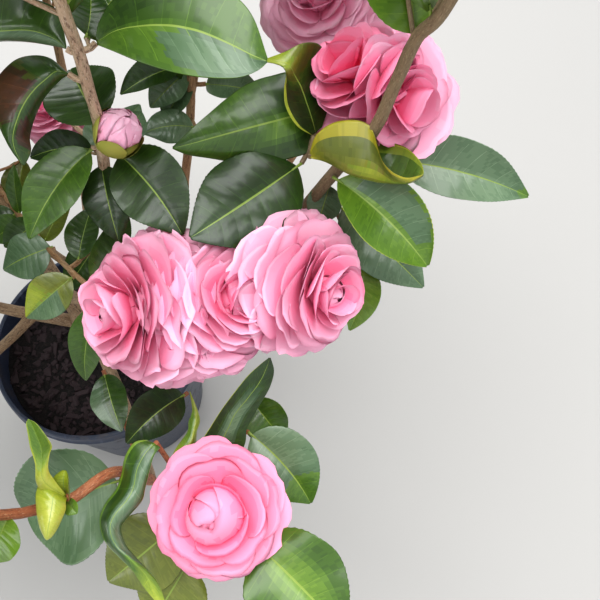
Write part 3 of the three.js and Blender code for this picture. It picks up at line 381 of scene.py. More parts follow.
              patches=[("yellow", 0, 0.36, -1, 1), ("yellow", 0, 1, -1, -0.9), ("yellow", 0, 1, 0.9, 1)],
              sheet=[
            67, 497.5, 366, 67.3, 497, 366, 67.6, 496.5, 366,  44, 491.5, 358, 50, 487, 356, 55, 480.5, 358,
            36, 482.5, 352, 42, 477, 350, 48.5, 469.5, 352,  35, 464, 347, 42, 460.5, 349, 49.5, 455, 347,
            30, 447.5, 343, 41, 447.5, 346, 52, 446, 343,  27.5, 433, 340, 36.5, 435, 343, 46, 435.5, 340,
            26, 424.5, 339, 31, 423, 340, 36, 423, 339,  27.5, 419.5, 339, 27.7, 419, 339, 28, 419, 339]),
        blade((46, 508, 372), (46, 541, 352), 17, "yellow", (0, -2, 6), under="yellow",
              patches=[("lime", 0, 0.3, -1, 1)], sheet=[
            67.6, 497.5, 366, 67.3, 498, 366, 67, 498, 366,  66, 502, 360, 55, 495, 356, 43, 483, 360,
            66, 509, 358, 52, 506, 352, 36, 492, 357,  63, 517, 356, 50, 518, 349, 36, 509, 354,
            58, 528, 354, 48, 529, 348, 39, 526, 351,  52, 537, 352, 47, 538, 349, 43.5, 536.5, 350,
            47.2, 540, 351, 47, 540.2, 351, 46.8, 540, 351]),
        blade((10, 514, 352), (-8, 562, 352), 26, "fresh"),
        blade((186, 524, 436), (112, 584, 440), 42, "olive", wide=1.2,
              shown=((180, 522, 436), (108, 582, 440))),
    ],
}

# More leaves that the picture shows, too small or too far behind for the solids
# Those in the pale tone are painted sheen too
MORE_LEAVES = {
    "front": [
        blade((66, 494, 372), (65, 470, 366), 19, "lime", full=0.55, cup=0.4),
        blade((66, 499, 372), (77, 514, 366), 9, "fresh", (1, 0, 2)),
        blade((190, 560, 446), (152, 622, 446), 40, "olive", wide=1.2),
        blade((150, 540, 452), (112, 566, 452), 34, "deep", (0, 0, 2), wide=1.2),
    ],
    "tall_left": [
        blade((88, 152, 420), (128, 118, 440), 22, "pale", (0, 0, 2), wide=1.2),
        blade((118, 148, 430), (142, 112, 440), 24, "pale", (0, 0, 2)),
        blade((86, 38, 330), (90, -10, 322), 20, "deep", (2, 0, 2)),
        blade((88, 40, 336), (118, -6, 330), 24, "green"),
    ],
    "right": [
        blade((330, 184, 430), (318, 224, 440), 24, "pale", (0, 0, 2)),
    ],
    "back_right": [
        blade((188, 70, 470), (150, 108, 470), 26, "pale", (0, 0, 2)),
    ],
    "centre": [
        blade((100, 240, 470), (66, 292, 476), 24, "deep", (0, 0, 2)),
        blade((96, 250, 474), (124, 262, 476), 20, "deep", (0, 0, 2)),
        blade((24, 158, 508), (17, 213, 512), 24, "olive", (0, 0, 2)),
        blade((24, 221, 484), (-8, 240, 486), 22, "green", (0, 0, 2)),
        blade((40, 222, 480), (4, 247, 480), 22, "deep", (0, 0, 2)),
    ],
}


def unit(vector):
    """A vector, or each row of vectors, at length one."""
    return vector / np.linalg.norm(vector, axis=-1, keepdims=True)


def sides_of(along, hint):
    """Two directions square to one: the first is square to a hint too."""
    across = unit(np.cross(along, hint))
    return across, np.cross(across, along)


class Line:
    """A smooth line whose share runs from 0 at its root to 1 at its tip."""

    STEP = 0.0001
    SAMPLES = 201

    def point(self, share):
        return self.points_at(np.array([share], float))[0]

    def tangents_at(self, shares):
        ahead = self.points_at(np.minimum(shares + self.STEP, 1))
        return unit(ahead - self.points_at(np.maximum(shares - self.STEP, 0)))

    def tangent(self, share):
        return self.tangents_at(np.array([share], float))[0]

    def lengths(self):
        places = self.points_at(np.linspace(0, 1, self.SAMPLES))
        return np.concatenate([[0], np.cumsum(np.linalg.norm(np.diff(places, axis=0), axis=1))])

    def evenly(self, shares):
        """Points at shares of the line's length."""
        lengths = self.lengths()
        return self.points_at(np.interp(np.asarray(shares) * lengths[-1], lengths,
                                        np.linspace(0, 1, self.SAMPLES)))


class Spline(Line):
    """A smooth line through knots."""

    def __init__(self, knots):
        knots = np.array(knots, float)
        self.knots = np.vstack([2 * knots[0] - knots[1], knots, 2 * knots[-1] - knots[-2]])

    def points_at(self, shares):
        spans = len(self.knots) - 3
        place = np.asarray(shares, float) * spans
        start = np.minimum(place.astype(int), spans - 1)
        t = (place - start)[:, None]
        a, b, c, d = (self.knots[start + i] for i in range(4))
        leave = 0.5 * (c - a)
        arrive = 0.5 * (d - b)
        bent = (3 * (c - b) - 2 * leave - arrive) * t**2
        return b + leave * t + bent + (2 * (b - c) + leave + arrive) * t**3


class Bow(Line):
    """A line bent once, towards its middle knot."""

    def __init__(self, root, middle, tip):
        self.root, self.middle, self.tip = root, middle, tip

    def points_at(self, shares):
        t = np.asarray(shares, float)[:, None]
        return (1 - t) ** 2 * self.root + 2 * (1 - t) * t * self.middle + t**2 * self.tip


class Chance:
    """Seeded chance, the same on every run."""

    def __init__(self, seed):
        self.seed = seed

    def __call__(self):
        self.seed = (self.seed * 1664525 + 1013904223) % 4294967296
        return self.seed / 4294967296


def blade_width(share):
    """Half a blade's width along the midrib, as a share of its full half width."""
    return np.sin(np.pi * np.clip(share, 0, 1) ** 0.86) ** 0.8


class Leaf:
    """A leaf whose midrib bows from root to tip and whose blade faces one way."""

    def __init__(self, mass, root, tip, bow, face, width, tone="green", form=None):
        self.mass, self.width, self.face, self.tone, self.bow = mass, width, face, tone, bow
        self.named = form is not None
        self.form = form or {}
        self.midrib = Bow(root, root + (tip - root) * 0.5 + bow * 2, tip)

    def blade_points(self, places):
        """Points of the blade at (share, side): side is -1 and 1 at its edges and 0 on the midrib."""
        share, side = np.array(places, float).T
        along = self.midrib.tangents_at(share)
        across, upper = sides_of(along, self.face)
        reach = (0.5 * self.width * blade_width(share) * side)[:, None]
        return self.midrib.points_at(share) + across * reach + upper * np.abs(reach) * LEAF_FOLD

    def sheet(self):
        """Rows of places on a curled leaf's left edge, midrib and right edge."""
        rows = np.reshape(self.form["sheet"], (-1, 3, 3))
        return np.array([[seen(*place) for place in row] for row in rows])

    def samples(self):
        return self.blade_points([(0.5, 0), (0.55, -0.8), (0.55, 0.8), (0.78, 0), (1, 0)])


def leaves_of(table):
    """The leaves of a table of the picture, mass by mass."""
    for mass, entries in table.items():
        for entry in entries:
            root, tip = seen(*entry["root"]), seen(*entry["tip"])
            yield Leaf(mass, root, tip, viewed(*entry["bow"]), viewed(*entry["face"]), entry["width"],
                       entry["tone"], entry["form"])


def bough_line(start, end):
    """A bough leaves its bearer low and then climbs."""
    share = np.array((0.6, 0.6, 0.36))
    return Bow(start, (1 - share) * start + share * end, end)


def trunk_line():
    lean = at(*TRUNK_LEAN, 0)
    halfway = 0.5 * (SOIL_LEVEL + TRUNK_FORK_HEIGHT)
    return Spline([up(SOIL_LEVEL - TRUNK_OFFCUT), lean * 0.4 + up(halfway),
                   lean + up(TRUNK_FORK_HEIGHT)])


def trunk_radius(share):
    """Root flare at the foot, then an even taper up to the fork."""
    flare = (TRUNK_FLARE_RADIUS - TRUNK_FOOT_RADIUS) * np.exp(-share * 9)
    return TRUNK_FOOT_RADIUS + (TRUNK_FORK_RADIUS - TRUNK_FOOT_RADIUS) * share + flare


def bloom_samples(bloom):
    """Points for tests on a bloom: its middle, its front and four places on its rim."""
    across, over = sides_of(bloom["face"], at(0.3, 0.9, 0.1))
    middle, radius = bloom["middle"], bloom["radius"]
    rim = [middle + (across * a + over * b) * radius for a, b in ((1, 0), (-1, 0), (0, 1), (0, -1))]
    return np.array([middle, middle + bloom["face"] * 0.4 * radius, *rim])


class Shrub:
    """All that grows: first by the rule and the chance of the solids, then on to what they leave out."""

    SCREEN_DEPTH = 8
    FRAME_MARGIN = 8
    BLOOM_SCREEN = 0.9
    BUD_SCREEN = 0.8
    LEAF_SCREEN = 0.42
    LEAF_SCREENS = (0.35, 0.6)
    TWIG_VIEWS = (0.35, 0.55, 0.8, 1)
    TWIG_FITS = (0.5, 0.75, 1)
    NO_STALK = 2

    def __init__(self):
        self.spray = 0
        self.chance = Chance(GROWTH_SEED)
        self.lines = {"trunk": trunk_line()}
        for entry in SHOOTS:
            start = self.lines[entry["bearer"]].evenly([entry["share"]])[0]
            self.lines[entry["name"]] = bough_line(start, entry["entry"])
        self.leaders = {entry["name"]: Spline([entry["entry"], *entry["leader"]]) for entry in SHOOTS}
        self.feet = np.array([entry["entry"] for entry in SHOOTS])
        self.ways = np.array([entry["leader"][-1] for entry in SHOOTS]) - self.feet
        self.wood = {name: [] for name in MASSES}
        self.leaves, self.blooms, self.buds = [], [], []
        self.screens = np.zeros((0, 4))
        self.kept = np.zeros((0, 3))
        for entry in SHOOTS:
            ends = entry["bough"][1], entry["tip"]
            self.add_wood(entry["name"], self.leaders[entry["name"]], ends, "leader")
        self.grow_named()
        for entry in SHOOTS:
            self.grow_twigs(entry, self.leaders[entry["name"]])
            self.grow_leader_leaves(entry, self.leaders[entry["name"]])
        self.fine = Chance(FINE_SEED)
        self.grow_on()

    def add_wood(self, mass, line, ends, kind):
        self.wood[mass].append(dict(line=line, ends=ends, kind=kind))

    def add_screen(self, middle, radius):
        """What the picture shows stands as a disc that later growth can hide behind."""
        x, y, reach = (value[0] for value in in_picture(middle))
        self.screens = np.vstack([self.screens, (x, y, reach, radius * FOCAL_PIXELS / reach)])

    def unseen(self, points):
        """True where points are outside the picture, or stand behind what the picture shows."""
        x, y, reach = in_picture(points)
        low, high = -self.FRAME_MARGIN, FRAME_PIXELS + self.FRAME_MARGIN
        outside = (reach <= 0) | (x < low) | (x > high) | (y < low) | (y > high)
        screen_x, screen_y, screen_reach, radius = self.screens.T
        behind = reach[:, None] > screen_reach + self.SCREEN_DEPTH
        covered = np.hypot(x[:, None] - screen_x, y[:, None] - screen_y) < radius
        return outside | (behind & covered).any(axis=1)

    def nearest_mass(self, points):
        """The number of the mass whose leader runs nearest to each point."""
        offset = points[:, None] - self.feet
        share = (offset * self.ways).sum(-1) / (self.ways**2).sum(-1)
        nearest = self.feet + self.ways * np.clip(share, 0, 1)[..., None]
        return np.linalg.norm(points[:, None] - nearest, axis=-1).argmin(axis=1)

    def inside_crown(self, points):
        spread = (np.abs((points - CROWN_CENTRE) / CROWN_RADII) ** CROWN_ROUNDING).sum(axis=1)
        return (spread < 1) & (points[:, 2] > CROWN_FLOOR)

    def fits(self, mass, points):
        """True where all points are in the mass's own space and out of the picture's sight."""
        points = np.atleast_2d(points)
        own = self.nearest_mass(points) == MASSES.index(mass)
        return bool((own & self.inside_crown(points) & self.unseen(points)).all())

    def clear_of_leaves(self, points, distance):
        return bool((np.linalg.norm(points[:, None] - self.kept, axis=-1) > distance).all())

    def clear_of_blooms(self, points, distance):
        return all((np.linalg.norm(points - bloom["middle"], axis=-1) > bloom["radius"] + distance).all()
                   for bloom in self.blooms)

    def keep(self, leaf):
        leaf.spray = self.spray
        self.leaves.append(leaf)
        self.kept = np.vstack([self.kept, leaf.samples()])

    def nearest_wood(self, mass, point, without=None):
        places = np.vstack([limb["line"].points_at(np.arange(25) / 24) for limb in self.wood[mass]
                            if limb is not without])
        return places[np.linalg.norm(places - point, axis=1).argmin()]

    def add_stalk(self, mass, end):
        """A stalk joins a named leaf, bloom or bud to the nearest wood."""
        start = self.nearest_wood(mass, end)
        length = np.linalg.norm(start - end)
        if length < self.NO_STALK:
            return
        bend = start + (end - start) * 0.55 + up(-STALK_SAG * length)
        far = end + unit(end - bend) * STALK_OVERLAP
        ends = STALK_RADIUS + 0.004 * length, STALK_RADIUS
        self.add_wood(mass, Spline([start, bend, far]), ends, "stalk")

    def grow_named(self):
        for twig in TWIGS:
            self.add_wood(twig["mass"], Spline(twig["path"]), twig["ends"], "named")
        for table, flowers, back, cover in ((BLOOMS, self.blooms, BLOOM_BACK, self.BLOOM_SCREEN),
                                            (BUDS, self.buds, BUD_BACK, self.BUD_SCREEN)):
            for entry in table:
                flower = dict(entry, middle=seen(*entry["middle"]), face=unit(viewed(*entry["face"])))
                self.add_stalk(flower["mass"], flower["middle"] - flower["face"] * back * flower["radius"])
                self.add_screen(flower["middle"], cover * flower["radius"])
                flowers.append(flower)
        for leaf in leaves_of(LEAVES):
            self.add_stalk(leaf.mass, leaf.midrib.point(0))
            for share in self.LEAF_SCREENS:
                self.add_screen(leaf.midrib.point(share), self.LEAF_SCREEN * leaf.width)
            self.keep(leaf)

    def grow_leaf(self, mass, line, share, turn, size, spacing=LEAF_SPACING, chance=None):
        """One leaf of the rule, set on a twig and turned about it."""
        chance = chance or self.chance
        root, along = line.point(share), line.tangent(share)
        side, over = sides_of(along, up(1))
        around = side * math.cos(turn) + over * (0.55 * math.sin(turn) + 0.1)
        heading = unit(along * 0.75 + around)
        length = LEAF_LENGTH * size * (0.82 + 0.36 * chance())
        tip = root + heading * length + up(-LEAF_DROOP * length)
        tilt_x = 0.5 * (chance() - 0.5)
        tilt_y = 0.5 * (chance() - 0.5)
        face = at(tilt_x, tilt_y, 1) + along * 0.25
        leaf = Leaf(mass, root, tip, up(LEAF_BOW * length), face, length * LEAF_WIDTH_SHARE)
        samples = leaf.samples()
        inner = leaf.blade_points([(place, edge) for place in (0.2, 0.35) for edge in (-1, 1)])
        if not self.fits(mass, samples) or not self.unseen(inner).all():
            return None
        if not self.clear_of_leaves(samples, spacing) or not self.clear_of_blooms(samples, BLOOM_CLEARANCE):
            return None
        self.keep(leaf)
        return leaf

    def grow_leader_leaves(self, entry, leader):
        """Leaves that stand on the leader itself, in its upper part."""
        self.spray += 1
        count = math.floor((1 - BARE_SHARE) * leader.lengths()[-1] / LEAF_GAP + 0.5)
        phase = self.chance() * FULL_TURN
        for i in range(count):
            share = BARE_SHARE + (1 - BARE_SHARE) * i / (count - 1)
            self.grow_leaf(entry["name"], leader, share, phase + i * GOLDEN_ANGLE, LEADER_LEAF_SIZE)

    def grow_twigs(self, entry, leader):
        """Side twigs spiral up each leader, shorter towards the top and the crown's middle."""
        outward = unit(entry["entry"] * (1, 1, 0))
        phase = self.chance() * FULL_TURN
        for i in range(entry["twigs"]):
            share = 0.06 + 0.91 * i / (entry["twigs"] - 1)
            start = leader.point(share)
            turn = phase + i * GOLDEN_ANGLE
            radial = at(math.cos(turn), math.sin(turn), 0)
            last = i == entry["twigs"] - 1
            rise = 1.5 if last else 0.32 + 0.5 * share
            heading = unit(radial * (0.3 if last else 1) + up(rise))
            favour = 1 + 0.22 * (radial @ outward)
            length = TWIG_LENGTH * favour * (1 - 0.42 * share) * (0.86 + 0.28 * self.chance())
            bend = start + heading * 0.55 * length
            end = start + heading * length + up(0.12 * length)
            self.grow_twig(entry["name"], [start, bend, end], i)

    def grow_twig(self, mass, points, number):
        """A twig with its leaves, and a bloom or a bud on some ends."""
        self.spray += 1
        line = Spline(points)
        if not self.unseen(line.points_at(self.TWIG_VIEWS)).all():
            return
        count = max(3, math.floor(line.lengths()[-1] / LEAF_GAP + 0.5))
        phase = self.chance() * FULL_TURN
        tangent = line.tangent(1)
        facing = unit(tangent + up(0.25 + 0.4 * self.chance()))
        end = points[-1]
        radius = BLOOM_RADIUS * (0.9 + 0.16 * self.chance())
        middle = end + facing * BLOOM_BACK * radius
        flower = dict(mass=mass, middle=middle, radius=radius, face=facing)
        bears_bloom = (number % BLOOM_TURN == 1 and self.fits(mass, bloom_samples(flower))
                       and self.clear_of_leaves(middle[None], 0.75 * radius)
                       and all(np.linalg.norm(bloom["middle"] - middle) > BLOOM_SPACING
                               for bloom in self.blooms))
        if bears_bloom:
            self.blooms.append(flower)
        grown = 0
        last = 0.86 if bears_bloom else 0.97
        for j in range(count):
            share = 0.25 + (last - 0.25) * j / (count - 1)
            size = 0.84 + 0.2 * math.sin(math.pi * share)
            grown += self.grow_leaf(mass, line, share, phase + j * GOLDEN_ANGLE, size) is not None
        reachable = all(self.fits(mass, line.point(share)) for share in self.TWIG_FITS)
        if not bears_bloom and grown and number % BUD_TURN == 2 and reachable:
            size = BUD_RADIUS * (0.7 + 0.4 * self.chance())
            middle = end + tangent * BUD_BACK * size
            self.buds.append(dict(mass=mass, middle=middle, radius=size, face=tangent))
        if bears_bloom or grown:
            self.add_wood(mass, line, (TWIG_ROOT_RADIUS, TWIG_TIP_RADIUS), "twig")

    def grow_on(self):
        """What the picture shows is set in its places, then finer twigs and leaves fill the same reach."""
        for flower in (*self.blooms, *self.buds):
            flower["shown"] = self.show_at(flower)
        for leaf in self.leaves:
            self.show_leaf(leaf)
        for leaf in leaves_of(MORE_LEAVES):
            stalk = self.drooping_stalk(leaf.mass, leaf.midrib.root)
            self.add_wood(leaf.mass, stalk, SHOWN_STALK_RADII, "stalk")
            self.keep(leaf)
        for name in MASSES:
            self.grow_end_leaves(name, self.leaders[name], start=0.72, count=20)
            for limb in self.wood[name]:
                if limb["kind"] in ("twig", "named"):
                    self.grow_end_leaves(name, limb["line"], start=0.5, count=9)
        for name in MASSES:
            for limb in list(self.wood[name]):
                if limb["kind"] != "stalk":
                    self.grow_side_shoots(name, limb)

    def show_at(self, flower):
        """A flower's middle as the picture shows it, with its stalk led there."""
        if "nudge" not in flower:
            return flower["middle"]
        x, y, reach = (value[0] for value in in_picture(flower["middle"]))
        across, down, further = flower["nudge"]
        shown = seen(x + across, y + down, reach + further)
        back = flower["face"] * flower["radius"]
        self.lead_stalk(flower["mass"], flower["middle"] - back * BLOOM_BACK, shown - back * 0.4)
        return shown

    def lead_stalk(self, mass, old_end, new_end):
        """Leads the stalk that ends at one place to another."""
        for limb in self.wood[mass]:
            miss = np.linalg.norm(limb["line"].point(1) - old_end)
            if limb["kind"] == "stalk" and miss < 2 * STALK_OVERLAP:
                limb["line"] = self.drooping_stalk(mass, new_end, limb)

    def drooping_stalk(self, mass, end, without=None):
        """A line from the nearest wood that droops a little on its way."""
        start = self.nearest_wood(mass, end, without)
        return Spline([start, 0.5 * (start + end) + up(-2), end])

    def show_leaf(self, leaf):
        """Sets a leaf of the picture where the picture shows it."""
        old_root = leaf.midrib.root
        if "sheet" in leaf.form:
            first, *_, last = leaf.sheet()[:, 1]
            leaf.midrib = Bow(first, leaf.midrib.point(0.5), last)
        elif "shown" in leaf.form:
            root, tip = (seen(*place) for place in leaf.form["shown"])
            leaf.midrib = Bow(root, 0.5 * (root + tip) + 2 * leaf.bow, tip)
        else:
            return
        self.lead_stalk(leaf.mass, old_root, leaf.midrib.point(0.004))

    def grow_end_leaves(self, mass, line, start, count):
        """Leaves around the last part of a leader or a twig, as far as the solids reach."""
        low, high = np.array(CAD_BOX[0]) / MM + BOX_MARGIN, np.array(CAD_BOX[1]) / MM - BOX_MARGIN
        turn = self.fine() * FULL_TURN
        for share in np.linspace(start, 0.995, count):
            turn += GOLDEN_ANGLE
            along, root = line.tangent(share), line.point(share)
            side, over = sides_of(along, at(0.2, 0.1, 1))
            out = side * math.cos(turn) + over * math.sin(turn)
            outer = (share - start) / (1 - start)
            heading = unit(along * (0.5 + 0.56 * outer) + out)
            length = np.interp(outer, (0, 1), END_LEAF_LENGTHS) + END_LEAF_CHANCE * self.fine()
            tip = root + heading * length
            face = unit(along - heading * (along @ heading))
            leaf = Leaf(mass, root, tip, face * 0.05 * length, face, length * LEAF_WIDTH_SHARE)
            points = leaf.blade_points([(0.5, -1.2), (0.5, 1.2), (0.8, -1), (0.8, 1), (1.06, 0)])
            if (points < low).any() or (points > high).any() or not self.unseen(points).all():
                continue
            roomy = self.clear_of_leaves(points[-1:], END_LEAF_SPACING)
            if roomy and self.clear_of_blooms(points, BLOOM_CLEARANCE):
                self.keep(leaf)

    def grow_side_shoots(self, mass, limb):
        line = limb["line"]
        bare = 0.3 if limb["kind"] == "leader" else 0.2
        count = int(line.lengths()[-1] * (1 - bare) / FINE_STEP)
        phase = self.fine() * FULL_TURN
        for i in range(count):
            share = bare + (1 - bare) * (i + 0.5) / count
            root, along = line.point(share), line.tangent(share)
            side, over = sides_of(along, up(1))
            turn = phase + i * GOLDEN_ANGLE
            heading = unit(along * 0.7 + side * math.cos(turn) + over * math.sin(turn) + up(0.25))
            length = FINE_LENGTH * (0.7 + 0.7 * self.fine())
            tip = root + heading * length + up(0.1 * length)
            self.spray += 1
            self.grow_side_shoot(mass, Spline([root, root + heading * 0.55 * length, tip]))

    def grow_side_shoot(self, mass, line):
        if not all(self.fits(mass, line.point(share)) for share in (0.5, 1)):
            return
        phase = self.fine() * FULL_TURN
        grown = 0
        for j, share in enumerate(FINE_LEAF_SHARES):
            leaf = self.grow_leaf(mass, line, share, phase + j * GOLDEN_ANGLE, FINE_LEAF_SIZE, FINE_SPACING,
                                  self.fine)
            grown += leaf is not None
        if grown:
            self.add_wood(mass, line, FINE_RADII, "fine")


# Node trees and materials

def new_tree(name, kind, inputs, outputs):
    """A node group with named sockets, each given as name, type and, for an input, its value."""
    tree = bpy.data.node_groups.new(name, kind)
    for way, sockets in (("INPUT", inputs), ("OUTPUT", outputs)):
        for title, socket_type, *value in sockets:
            socket = tree.interface.new_socket(title, in_out=way, socket_type="NodeSocket" + socket_type)
            if value:
                socket.default_value = value[0]
    return tree


class Feed:
    """An output of a node: sums, products and powers of feeds add the Math nodes that make them."""

    def __init__(self, bench, socket):
        self.bench, self.socket = bench, socket

    def __add__(self, other):
        return self.bench.math("ADD", self, other)

    def __sub__(self, other):
        return self.bench.math("SUBTRACT", self, other)

    def __rsub__(self, other):
        return self.bench.math("SUBTRACT", other, self)

    def __mul__(self, other):
        return self.bench.math("MULTIPLY", self, other)

    def __truediv__(self, other):
        return self.bench.math("DIVIDE", self, other)

    def __pow__(self, other):
        return self.bench.math("POWER", self, other)

    __radd__ = __add__
    __rmul__ = __mul__


class Bench:
    """Adds nodes to a tree: inputs take plain values or the feeds that lead to them."""

    def __init__(self, tree):
        self.tree = tree

    def add(self, kind, inputs=None, **settings):
        node = self.tree.nodes.new(kind)
        for key, value in settings.items():
            setattr(node, key, value)
        for place, value in (inputs or {}).items():
            self.lead(value, node.inputs[place])
        return node

    def lead(self, value, socket):
        if isinstance(value, Feed):
            self.tree.links.new(value.socket, socket)
        else:
            socket.default_value = value

    def get(self, kind, inputs=None, output=0, **settings):
        """The feed from one output of a new node."""
        return Feed(self, self.add(kind, inputs, **settings).outputs[output])

    def math(self, operation, a, b=0.5):
        return self.get("ShaderNodeMath", {0: a, 1: b}, operation=operation)

    def vector(self, operation, a, b):
        return self.get("ShaderNodeVectorMath", {0: a, 1: b}, operation=operation)

    def scaled(self, vector, factor):
        return self.get("ShaderNodeVectorMath", {0: vector, "Scale": factor}, operation="SCALE")

    def xyz(self, x, y, z):
        return self.get("ShaderNodeCombineXYZ", {0: x, 1: y, 2: z})

    def turned(self, x, y, z):
        return self.get("FunctionNodeEulerToRotation", {0: self.xyz(x, y, z)})

    def mix(self, share, a, b):
        return self.get("ShaderNodeMix", {0: share, 2: a, 3: b})

    def blend(self, share, a, b):
        """Two colours mixed, each a feed or its 0 to 255 values."""
        a, b = (colour if isinstance(colour, Feed) else rgba(colour) for colour in (a, b))
        return self.get("ShaderNodeMix", {0: share, 6: a, 7: b}, 2, data_type="RGBA")

    def noise(self, vector, scale, detail=3.0, roughness=0.5):
        return self.get("ShaderNodeTexNoise", {"Vector": vector, "Scale": scale, "Detail": detail,
                                               "Roughness": roughness})

    def random(self, low, high, index, seed):
        ends = {2: low, 3: high, 7: index, 8: seed}
        return self.get("FunctionNodeRandomValue", ends, 1, data_type="FLOAT")

    def compare(self, operation, a, b, margin=0.001):
        return self.get("FunctionNodeCompare", {0: a, 1: b, 12: margin}, operation=operation)

    def steps(self, value, low, high, start=0.0, end=1.0):
        """A value's part from low to high, spread from start to end."""
        return self.get("ShaderNodeMapRange", {0: value, 1: low, 2: high, 3: start, 4: end})

    def named(self, name, data_type="FLOAT"):
        return self.get("GeometryNodeInputNamedAttribute", {0: name}, data_type=data_type)

    def store(self, geometry, name, value, data_type="FLOAT"):
        return self.get("GeometryNodeStoreNamedAttribute", {0: geometry, 2: name, 3: value},
                        data_type=data_type, domain="POINT")

    def points(self, count, place):
        return self.get("GeometryNodePoints", {0: count, 1: place})

    def planted(self, spots, shape, turn, size, chosen=True):
        """Instances of an object at points, turned and sized."""
        body = self.get("GeometryNodeObjectInfo", {0: shape, 1: True}, 4)
        return self.get("GeometryNodeInstanceOnPoints", {0: spots, 1: chosen, 2: body, 5: turn, 6: size})

    def joined(self, parts):
        node = self.add("GeometryNodeJoinGeometry")
        for part in parts:
            self.lead(part, node.inputs[0])
        return Feed(self, node.outputs[0])

    def realized(self, geometry):
        return self.get("GeometryNodeRealizeInstances", {0: geometry})

    def smoothed(self, geometry):
        return self.get("GeometryNodeSetShadeSmooth", {0: geometry, 2: True})

    def finish_pieces(self, geometry, material):
        """Realize Instances and Set Material, which end every tree."""
        return self.get("GeometryNodeSetMaterial", {0: self.realized(geometry), 2: material})

    def give(self, *feeds):
        ending = self.add("NodeGroupOutput")
        for number, feed in enumerate(feeds):
            self.lead(feed, ending.inputs[number])

    def taken(self):
        """The tree's inputs, without the blank socket that follows them."""
        *sockets, _ = self.add("NodeGroupInput").outputs
        return [Feed(self, socket) for socket in sockets]


def rgba(colour):
    """A colour from its 0 to 255 values on screen."""
    linear = [((c / 255 + 0.055) / 1.055) ** 2.4 if c > 10 else c / 255 / 12.92 for c in colour]
    return (*linear, 1.0)


def plain_material(name, colour, roughness, **settings):
    """A material in one colour: its numbers stand on the shader's own sockets."""
    material = bpy.data.materials.new(name)
    material.use_nodes = True
    material.diffuse_color = rgba(colour)
    shader = material.node_tree.nodes["Principled BSDF"]
    shader.inputs["Base Color"].default_value = rgba(colour)
    shader.inputs["Roughness"].default_value = roughness
    for socket, value in settings.items():
        shader.inputs[socket.replace("_", " ")].default_value = value
    return material


def shader_bench(material):
    """The bench of a material, its shader's inputs and its Object coordinates."""
    bench = Bench(material.node_tree)
    place = bench.get("ShaderNodeTexCoord", output="Object")
    return bench, material.node_tree.nodes["Principled BSDF"].inputs, place


def relieve(bench, shader, height, strength, distance):
    """Relief from a height, in metres."""
    relief = {"Height": height, "Strength": strength, "Distance": distance}
    bench.lead(bench.get("ShaderNodeBump", relief), shader["Normal"])


# Meshes

def placed(name, data):
    """An object of the scene for a mesh, a lamp or a camera."""
    thing = bpy.data.objects.new(name, data)
    bpy.context.scene.collection.objects.link(thing)
    return thing


def smooth_mesh(name, points, faces):
    mesh = bpy.data.meshes.new(name)
    mesh.from_pydata(np.asarray(points).tolist(), [], faces)
    mesh.polygons.foreach_set("use_smooth", np.ones(len(mesh.polygons), bool))
    return mesh


def mesh_piece(name, points, faces, materials, face_slots=None):
    """A piece from its points in millimetres and its faces, with a material number for each face."""
    mesh = smooth_mesh(name, np.asarray(points) * MM, faces)
    for material in materials:
        mesh.materials.append(material)
    if face_slots is not None:
        mesh.polygons.foreach_set("material_index", np.asarray(face_slots, np.int32))
    mesh.update()
    return placed(name, mesh)


class Joined:
    """Meshes joined into one, with a material number for each face."""

    def __init__(self):
        self.points, self.faces, self.slots = np.zeros((0, 3)), [], []

    def add(self, points, faces, slots):
        self.faces.extend(tuple(len(self.points) + i for i in face) for face in faces)
        self.points = np.vstack([self.points, points])
        self.slots.extend(slots)

    def piece(self, name, materials):
        return mesh_piece(name, self.points, self.faces, materials, self.slots)


def plain_copy(thing):
    """The plain mesh that an object's modifiers make."""
    return bpy.data.meshes.new_from_object(thing.evaluated_get(bpy.context.evaluated_depsgraph_get()))


def run_tree(name, mesh, tree, **values):
    """The plain mesh that a Geometry Nodes tree makes from a mesh with its named inputs set."""
    holder = placed(name, mesh)
    modifier = holder.modifiers.new("nodes", "NODES")
    modifier.node_group = tree
    for item in tree.interface.items_tree:
        key = item.name.replace(" ", "_")
        if item.in_out == "INPUT" and key in values:
            is_float = item.socket_type == "NodeSocketFloat"
            modifier[item.identifier] = float(values[key]) if is_float else values[key]
    made = plain_copy(holder)
    holder.modifiers.remove(modifier)
    bpy.data.objects.remove(holder)
    made.name = name
    return made


def mesh_parts(mesh):
    """A mesh's points, its faces and their material numbers."""
    points = np.empty(len(mesh.vertices) * 3)
    mesh.vertices.foreach_get("co", points)
    slots = np.empty(len(mesh.polygons), np.int32)
    mesh.polygons.foreach_get("material_index", slots)
    return points.reshape(-1, 3), [tuple(face.vertices) for face in mesh.polygons], slots


def mesh_tube(line, radii, sides=6, rows=4):
    """A closed tube along a line: points and faces, in millimetres."""
    shares = np.linspace(0, 1, rows)
    along = line.tangents_at(shares)
    side = unit(np.cross(along, (0.31, 0.17, 0.93)))
    over = np.cross(along, side)
    angles = np.arange(sides) * FULL_TURN / sides
    radius = np.interp(shares, (0, 1), radii)[:, None, None]
    ring = side[:, None] * np.cos(angles)[:, None] + over[:, None] * np.sin(angles)[:, None]
    points = (line.points_at(shares)[:, None] + ring * radius).reshape(-1, 3)
    faces = []
    for low in range(0, (rows - 1) * sides, sides):
        for i in range(sides):
            j = (i + 1) % sides
            faces.append((low + i, low + j, low + sides + j, low + sides + i))
    faces.append(tuple(range(sides - 1, -1, -1)))
    faces.append(tuple(range((rows - 1) * sides, rows * sides)))
    return points, faces


def under_place(row, column, rows, columns):
    """The number of a point on a thin blade's underside, which shares its two edges with the top."""
    if column in (0, columns - 1):
        return row * columns + column
    return rows * columns + row * (columns - 2) + column - 1


